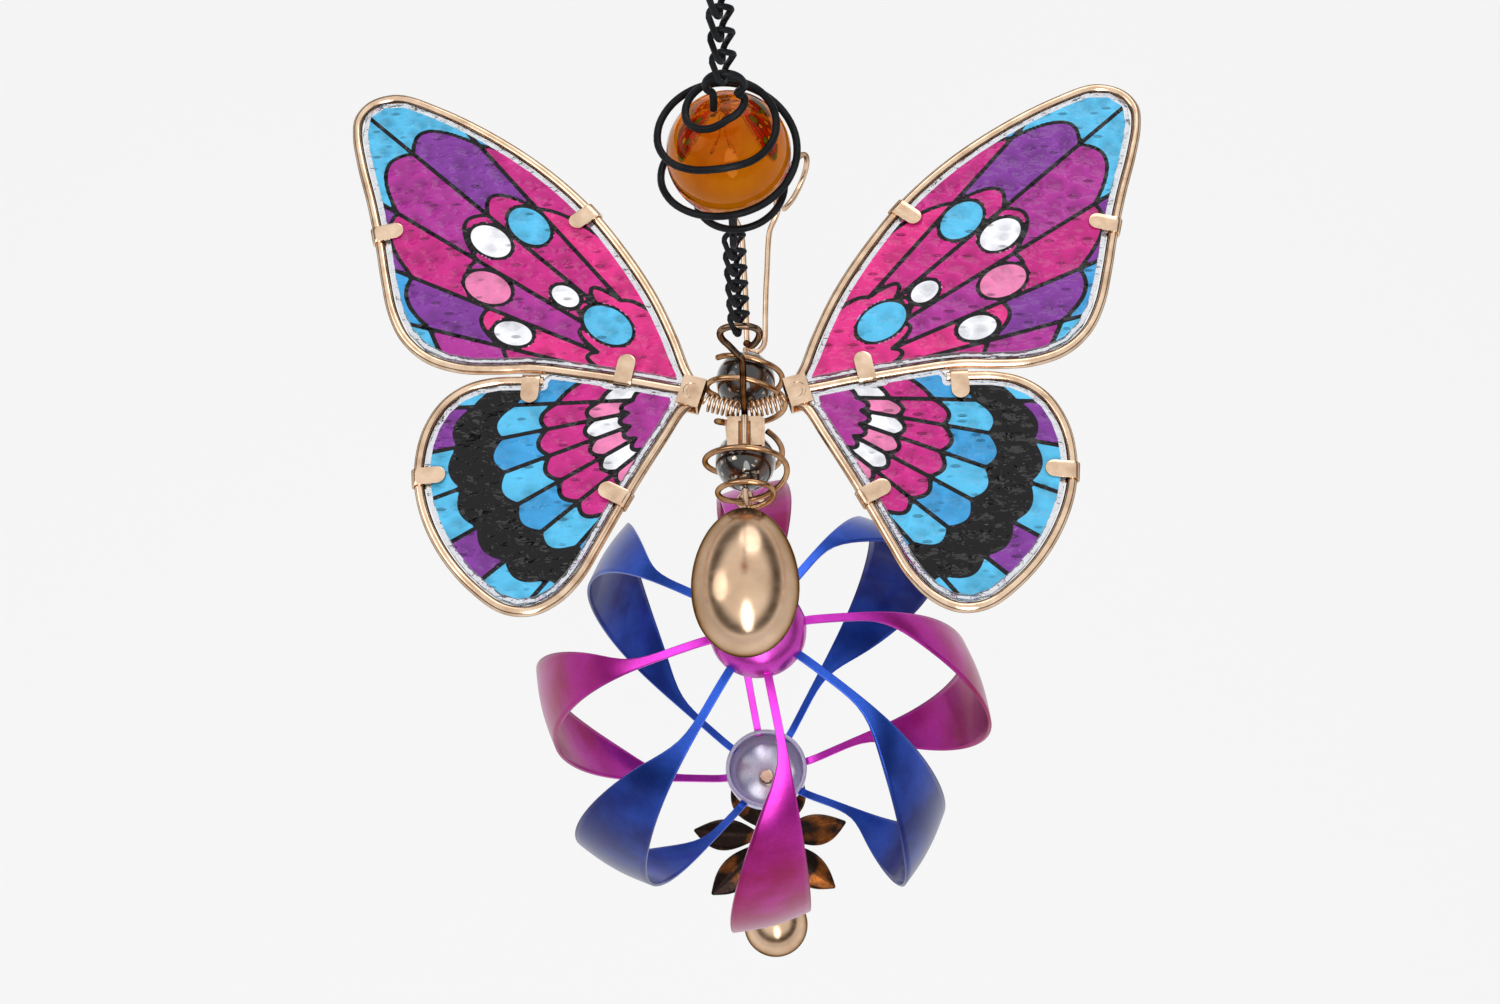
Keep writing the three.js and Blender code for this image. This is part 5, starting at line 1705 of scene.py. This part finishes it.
@dataclass
class Wing:
    """One wing: two wire outlines with folded tabs, two panes and the bracket that grips them."""

    FOREWING_SHARES = (
        (0.006, 0.056), (0.024, 0.093), (0.056, 0.185), (0.118, 0.328), (0.210, 0.483),
        (0.324, 0.638), (0.462, 0.775), (0.622, 0.895), (0.782, 0.987), (0.903, 1.033),
        (0.979, 1.012), (1.014, 0.964), (1.016, 0.901), (0.994, 0.798), (0.954, 0.660),
        (0.920, 0.523), (0.895, 0.403), (0.865, 0.288), (0.822, 0.202), (0.754, 0.139),
        (0.662, 0.106), (0.565, 0.100), (0.462, 0.102), (0.313, 0.081), (0.175, 0.056),
        (0.067, 0.033), (0.001, 0.021),
    )
    HINDWING_SHARES = (
        (0.006, -0.013), (0.032, -0.036), (0.079, -0.118), (0.147, -0.239), (0.204, -0.347),
        (0.256, -0.451), (0.301, -0.536), (0.359, -0.602), (0.427, -0.636), (0.502, -0.628),
        (0.588, -0.565), (0.662, -0.479), (0.719, -0.376), (0.750, -0.273), (0.755, -0.176),
        (0.737, -0.084), (0.693, -0.006), (0.631, 0.040), (0.559, 0.059), (0.490, 0.061),
        (0.422, 0.059),
    )
    FOREWING_TAB_SHARES = ((0.885, 0.560), (0.315, 0.612), (0.207, 0.064))
    HINDWING_TAB_SHARES = ((0.456, 0.061), (0.725, -0.243), (0.215, -0.306))
    TAB_ACROSS = (-1.0, -0.5, 0.0, 0.5, 1.0)

    side: Side
    wires: SweptWire
    copies: SpreadCopies
    finishes: Finishes
    reach: float = 100 * MM
    wire_radius: float = 1.25 * MM
    wire_steps: int = 1
    bracket_width: float = 5.7 * MM
    bracket_shift: float = 1.1 * MM
    bracket_sheet: float = 0.6 * MM
    bracket_sweep: float = math.radians(16)
    bracket_edge: float = 0.35 * MM
    gap: float = 0.3 * MM
    pane_half: float = 0.9 * MM
    root_inset: float = 4 * MM
    tab_width: float = 4.4 * MM
    tab_reach: float = 6.6 * MM
    tab_under_reach: float = 3.2 * MM
    tab_sheet: float = 0.55 * MM
    tab_sheet_share: float = 0.9
    tab_edge: float = 0.1 * MM
    tab_edge_steps: int = 2
    nose_steps: int = 8
    leg_steps: int = 4
    bend_steps: int = 12
    under_steps: int = 3

    def seat(self) -> Vector:
        """Finds where the wire ends lie in the bracket.

        Returns:
            The place.
        """
        middle = box_middle(f"bracket_{self.side.word}")
        back = self.bracket_width / 2 - self.bracket_sheet - self.gap - self.wire_radius
        sweep = self.bracket_sweep
        axis = Vector((self.side.sign * math.cos(sweep), math.sin(sweep), 0))
        level = Vector((-self.side.sign * math.sin(sweep), math.cos(sweep), 0))
        return middle - axis * back - level * self.bracket_shift

    def placed(self, share: Span) -> Vector:
        """Places a point in the wing's plane.

        Args:
            share: The point's shares of the span, outwards and forwards.

        Returns:
            The point.
        """
        seat = self.seat()
        span = self.reach - abs(seat.x)
        return seat + Vector((self.side.sign * share[0] * span, share[1] * span, 0))

    def build(self) -> None:
        """Builds and dresses the wing."""
        word = self.side.word
        bracket = bevelled(f"bracket_{word}_plate", f"bracket_{word}", self.finishes.gold, self.bracket_edge)
        seated(bracket, f"bracket_{word}")
        fore = flowing([self.placed(share) for share in self.FOREWING_SHARES])
        hind = flowing([self.placed(share) for share in self.HINDWING_SHARES])
        self.build_frame("forewing", fore, self.FOREWING_TAB_SHARES)
        self.build_frame("hindwing", hind, self.HINDWING_TAB_SHARES)
        root = self.seat()
        origin = (abs(root.x) - self.root_inset, root.y)
        span = self.reach - abs(root.x)
        mirrored = np.array([self.side.sign, 1])
        for wing, line, design in (("forewing", fore, forewing_design), ("hindwing", hind, hindwing_design)):
            outline = np.array([(p.x, p.y) for p in line]) * mirrored
            Pane(f"{wing}_panel_{word}", self.finishes).build(design(origin, span, outline), self.side)

    def build_frame(self, wing: str, line: list[Vector], tabs: tuple[Span, ...]) -> None:
        """Builds one wire outline with its tabs.

        Args:
            wing: Which wing's outline it is.
            line: The wire's middle line.
            tabs: The tabs' places in shares.
        """
        word = self.side.word
        gold = self.finishes.gold
        wire = self.wires.sweep(f"{wing}_wire_{word}", line, self.wire_radius, gold, steps=self.wire_steps)
        middle = sum(line, Vector()) / len(line)
        places = []
        turns = []
        for share in tabs:
            target = self.placed(share)
            near = min(range(1, len(line) - 1), key=lambda k: (line[k] - target).length)
            along = (line[near + 1] - line[near - 1]).normalized()
            inward = middle - line[near]
            inward -= along * inward.dot(along)
            places.append(line[near])
            turns.append(math.atan2(inward.y, inward.x))
        folded = self.copies.spread(f"{wing}_tabs_{word}", self.tab(), places, turns, gold)
        seated(wire, f"{wing}_frame_{word}")
        seated(folded, f"{wing}_frame_{word}")

    def tab_path(self) -> list[Triple]:
        """Follows a tab's sheet from its nose, over the wire and back under it.

        Returns:
            Places along X and Z with half the sheet's width there.
        """
        middle = self.pane_half + self.gap + self.tab_sheet / 2
        bend = self.wire_radius + self.tab_sheet / 2
        end = self.tab_reach
        nose = self.tab_width / 2
        path = []
        for k in range(self.nose_steps + 1):
            angle = math.pi / 2 * k / self.nose_steps
            path.append((end - nose + nose * math.cos(angle), middle, nose * math.sin(angle)))
        path.extend((x, middle, nose) for x in np.linspace(end - nose, 0, self.leg_steps + 1)[1:])
        for k in range(1, self.bend_steps + 1):
            angle = math.pi / 2 + math.pi * k / self.bend_steps
            path.append((bend * math.cos(angle), middle * math.sin(angle), nose))
        under = np.linspace(0, self.tab_under_reach, self.under_steps + 1)[1:]
        path.extend((x, -middle, nose) for x in under)
        return path

    def tab(self) -> bpy.types.Object:
        """Folds one tab round a wire at the origin, its long leg along +X.

        Returns:
            The tab.
        """
        mesh = bpy.data.meshes.new("folded_tab")
        form = bmesh.new()
        rows = []
        for x, z, half in self.tab_path():
            rows.append([form.verts.new((x, half * t, z)) for t in self.TAB_ACROSS])
        for a, b in zip(rows, rows[1:]):
            for k in range(len(self.TAB_ACROSS) - 1):
                form.faces.new((a[k], a[k + 1], b[k + 1], b[k]))
        bmesh.ops.remove_doubles(form, verts=form.verts, dist=WELD_DISTANCE)
        bmesh.ops.recalc_face_normals(form, faces=form.faces)
        form.to_mesh(mesh)
        form.free()
        tab = shown("folded_tab", mesh)
        wall = tab.modifiers.new("sheet", "SOLIDIFY")
        wall.thickness = self.tab_sheet * self.tab_sheet_share
        wall.offset = 0.0
        ease = tab.modifiers.new("ease", "BEVEL")
        ease.width = self.tab_edge
        ease.segments = self.tab_edge_steps
        ease.limit_method = "ANGLE"
        return baked(tab)


def flowing(points: list[Vector], steps: int = 6) -> list[Vector]:
    """A smooth line through points, its pace set by the roots of their distances.

    Args:
        points: The points.
        steps: The steps between two of them.

    Returns:
        The line's points.
    """
    first = points[0] * 2 - points[1]
    last = points[-1] * 2 - points[-2]
    run = [first, *points, last]
    line = []
    for p0, p1, p2, p3 in zip(run, run[1:], run[2:], run[3:]):
        t1 = math.sqrt((p1 - p0).length)
        t2 = t1 + math.sqrt((p2 - p1).length)
        t3 = t2 + math.sqrt((p3 - p2).length)
        for k in range(steps):
            t = t1 + (t2 - t1) * k / steps
            a1 = p0 * ((t1 - t) / t1) + p1 * (t / t1)
            a2 = p1 * ((t2 - t) / (t2 - t1)) + p2 * ((t - t1) / (t2 - t1))
            a3 = p2 * ((t3 - t) / (t3 - t2)) + p3 * ((t - t2) / (t3 - t2))
            b1 = a1 * ((t2 - t) / t2) + a2 * (t / t2)
            b2 = a2 * ((t3 - t) / (t3 - t1)) + a3 * ((t - t1) / (t3 - t1))
            line.append(b1 * ((t2 - t) / (t2 - t1)) + b2 * ((t - t1) / (t2 - t1)))
    line.append(points[-1])
    return line


def forewing_design(root: Span, span: float, outline: np.ndarray) -> WingDesign:
    """Lays out the forewing: long cells, oval spots and sky-blue edge cells.

    Args:
        root: The point that the veins run from.
        span: The wing's reach.
        outline: The pane's outline on the right wing.

    Returns:
        The design.
    """
    return WingDesign(
        root=root,
        reach=span,
        outline=outline,
        vein_degrees=(-4, 16, 25, 34, 43, 51, 75),
        bands=(0.32, 0.64, 0.87),
        scallop=0.04,
        vein_start=0.32,
        inks=(
            (Ink.PINK,),
            (Ink.MAGENTA, Ink.PINK, Ink.VIOLET, Ink.MAGENTA),
            (Ink.VIOLET, Ink.PURPLE, Ink.MAGENTA),
            (Ink.CYAN, Ink.SKY, Ink.PURPLE, Ink.CYAN),
        ),
        spots=(
            Spot(0.290, 0.235, 7.6 * MM, 39, Ink.CYAN),
            Spot(0.560, 0.212, 5.6 * MM, 20, Ink.WHITE),
            Spot(0.640, 0.364, 7.0 * MM, 30, Ink.ROSE),
            Spot(0.415, 0.332, 4.6 * MM, 38, Ink.WHITE),
            Spot(0.640, 0.520, 6.6 * MM, 39, Ink.WHITE),
            Spot(0.530, 0.570, 7.2 * MM, 47, Ink.CYAN),
        ),
    )


def hindwing_design(root: Span, span: float, outline: np.ndarray) -> WingDesign:
    """Lays out the hindwing: scalloped bands with a dark band before the edge.

    Args:
        root: The point that the veins run from.
        span: The wing's reach.
        outline: The pane's outline on the right wing.

    Returns:
        The design.
    """
    return WingDesign(
        root=root,
        reach=span,
        outline=outline,
        vein_degrees=(-84, -62, -52, -42, -32, -22, -12, -2, 20),
        bands=(0.28, 0.40, 0.56, 0.72, 0.86),
        scallop=0.03,
        vein_start=0.28,
        solid_bands=(4,),
        inks=(
            (Ink.VIOLET,),
            (Ink.ROSE, Ink.WHITE),
            (Ink.MAGENTA,),
            (Ink.CYAN, Ink.SKY),
            (Ink.NIGHT,),
            (Ink.PURPLE, Ink.CYAN, Ink.CYAN),
        ),
    )


@dataclass
class Swivel:
    """The barrel and the headed eye that turns in it."""

    finishes: Finishes

    def build(self) -> None:
        """Builds and dresses the pieces."""
        for node in ("swivel_barrel", "swivel_eye"):
            seated(refined(f"{node}_smooth", node, self.finishes.gold, swell=WIRE_SWELL), node)


@dataclass
class GlobeSpinner:
    """Hubs, stem and eight bent blades."""

    finishes: Finishes
    blades: int = 8
    hub_degrees: float = 35.0
    blade_degrees: float = 45.0

    def build(self) -> None:
        """Builds and dresses the pieces."""
        looks = self.finishes
        for node, finish in (("top_hub", looks.hub), ("bottom_hub", looks.cup)):
            seated(refined(f"{node}_smooth", node, finish, sharp_degrees=self.hub_degrees), node)
        for node in ("spinner_stem", "tail_eye"):
            seated(refined(f"{node}_smooth", node, looks.gold, swell=WIRE_SWELL), node)
        for k in range(1, self.blades + 1):
            node = f"blade_{k}"
            finish = looks.magenta if k % 2 else looks.blue
            seated(refined(f"{node}_smooth", node, finish, sharp_degrees=self.blade_degrees), node)


@dataclass
class Tail:
    """The leaf flower and the ball below it."""

    finishes: Finishes
    leaf_degrees: float = 40.0

    def build(self) -> None:
        """Builds and dresses the pieces."""
        looks = self.finishes
        for node in ("leaf_rod", "ball_rod"):
            seated(refined(f"{node}_smooth", node, looks.gold, swell=WIRE_SWELL), node)
        for node in ("leaf_flower", "leaf_boss"):
            seated(refined(f"{node}_smooth", node, looks.leaf, sharp_degrees=self.leaf_degrees), node)
        low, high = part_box("bottom_ball")
        profile = moulded_profile((high.x - low.x) / 2)
        seated(lathe("polished_ball", profile, (low + high) / 2, looks.champagne), "bottom_ball")


@dataclass(frozen=True)
class SoftLight:
    """A soft lamp and where it stands, with its power in watts."""

    name: str
    place: Triple
    width: float
    height: float
    power: float

    def build(self, aim: Vector) -> None:
        """Sets up the lamp.

        Args:
            aim: What it points at.
        """
        data = bpy.data.lights.new(self.name, "AREA")
        data.shape = "ELLIPSE"
        data.size = self.width
        data.size_y = self.height
        data.energy = self.power
        light = bpy.data.objects.new(self.name, data)
        light.location = self.place
        light.rotation_mode = "QUATERNION"
        light.rotation_quaternion = (aim - Vector(self.place)).to_track_quat("-Z", "Y")
        bpy.context.scene.collection.objects.link(light)


@dataclass
class Studio:
    """Pale floor, soft lights and the camera at the photograph's angle."""

    position: Triple = (13.06 * MM, -233.64 * MM, 262 * MM)
    heading: float = math.radians(3.2)
    pitch: float = math.radians(65)
    roll: float = math.radians(3.5)
    lens: float = 50.0
    sensor: float = 36.0
    clip: Span = (0.01, 100.0)
    floor_depth: float = 1.15
    floor_size: float = 180.0
    floor_sides: int = 96
    floor_shade: Colour = linear(170, 170, 169)
    floor_glow: float = 0.56
    daylight: Colour = linear(250, 251, 255)
    daylight_strength: float = 0.8
    backdrop: Colour = linear(245, 245, 243)
    backdrop_strength: float = 0.9
    wall_tone: Colour = linear(88, 82, 74)
    wall_strength: float = 1.0
    wall_rises: tuple[tuple[float, bool], ...] = ((0.04, False), (0.2, True), (0.42, True), (0.66, False))
    aim_share: float = 0.4
    lights: tuple[SoftLight, ...] = (
        SoftLight("key_light", (0.2, -1.5, 1.1), 0.8, 2.0, 15.0),
        SoftLight("side_light", (-1.6, 0.1, 1.0), 1.2, 1.2, 5.0),
        SoftLight("rim_light", (0.3, 1.5, 0.8), 1.2, 1.2, 5.0),
    )

    def build(self) -> None:
        """Builds the stage, the lights and the camera."""
        self.build_camera()
        self.build_world()
        self.build_floor()
        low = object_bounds()[0]
        for light in self.lights:
            light.build(Vector((0, 0, low.z * self.aim_share)))

    def build_camera(self) -> None:
        """Places the camera."""
        forward = Vector((
            -math.sin(self.heading) * math.cos(self.pitch),
            math.cos(self.heading) * math.cos(self.pitch),
            -math.sin(self.pitch),
        ))
        right = forward.cross(UP).normalized()
        over = right.cross(forward)
        across = right * math.cos(self.roll) - over * math.sin(self.roll)
        upright = right * math.sin(self.roll) + over * math.cos(self.roll)
        turn = Matrix((across, upright, -forward)).transposed()
        data = bpy.data.cameras.new("photo_camera")
        data.lens = self.lens
        data.sensor_width = self.sensor
        data.sensor_fit = "HORIZONTAL"
        data.clip_start, data.clip_end = self.clip
        camera = bpy.data.objects.new("photo_camera", data)
        camera.matrix_world = Matrix.Translation(self.position) @ turn.to_4x4()
        bpy.context.scene.collection.objects.link(camera)
        bpy.context.scene.camera = camera

    def build_world(self) -> None:
        """Lights from all round, with a pale backdrop and darker walls in the gloss."""
        world = bpy.data.worlds.new("soft_room")
        world.use_nodes = True
        bpy.context.scene.world = world
        graph = Graph(world.node_tree)
        lit = graph.fill(graph.nodes["Background"], Color=self.daylight, Strength=self.daylight_strength)
        around = graph.add("ShaderNodeTexCoord").outputs["Generated"]
        rise = graph.add("ShaderNodeSeparateXYZ", Vector=around).outputs["Z"]
        ramp = graph.add("ShaderNodeValToRGB", Fac=rise)
        stops = ramp.color_ramp.elements
        while len(stops) > 1:
            stops.remove(stops[-1])
        for height, dark in self.wall_rises:
            stop = stops.new(height)
            stop.color = self.wall_tone if dark else self.backdrop
        stops[0].color = self.backdrop
        walls = graph.add("ShaderNodeBackground", Color=ramp.outputs["Color"], Strength=self.wall_strength)
        plain = graph.add("ShaderNodeBackground", Color=self.backdrop, Strength=self.backdrop_strength)
        ray = graph.add("ShaderNodeLightPath").outputs
        direct = graph.math("MAXIMUM", ray["Is Camera Ray"], ray["Is Transmission Ray"])
        gloss = graph.either(ray["Is Glossy Ray"], lit.outputs["Background"], walls.outputs["Background"])
        view = graph.either(direct, gloss, plain.outputs["Background"])
        graph.fill(graph.nodes["World Output"], Surface=view)

    def build_floor(self) -> None:
        """Lays the floor far below the ball."""
        form = bmesh.new()
        bmesh.ops.create_circle(
            form, cap_ends=True, segments=self.floor_sides, radius=self.floor_size / 2,
            matrix=Matrix.Translation((0, 0, -self.floor_depth)),
        )
        mesh = bpy.data.meshes.new("studio_floor")
        form.to_mesh(mesh)
        form.free()
        shader = Shader("pale_floor")
        seen = shader.add("ShaderNodeLightPath").outputs["Is Camera Ray"]
        shader.set(
            Base_Color=shader.mix(seen, self.backdrop, self.floor_shade),
            Roughness=0.9,
            Specular_IOR_Level=0.1,
            Emission_Color=self.backdrop,
            Emission_Strength=shader.math("MULTIPLY", seen, self.floor_glow),
        )
        floor = dressed(shown("studio_floor", mesh, smooth=False), shader.material)
        floor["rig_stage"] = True


def main() -> None:
    """Builds every sub-assembly in order."""
    logging.basicConfig(level=logging.INFO, format="%(message)s")
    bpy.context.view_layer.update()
    bpy.context.scene.view_settings.view_transform = "Standard"
    finishes = Finishes()
    wires = SweptWire()
    copies = SpreadCopies()
    TopHanging(wires, finishes).build()
    ButterflyBody(wires, finishes).build()
    for side in Side:
        Wing(side, wires, copies, finishes).build()
    Swivel(finishes).build()
    GlobeSpinner(finishes).build()
    Tail(finishes).build()
    Studio().build()


if __name__ == "__main__":
    main()
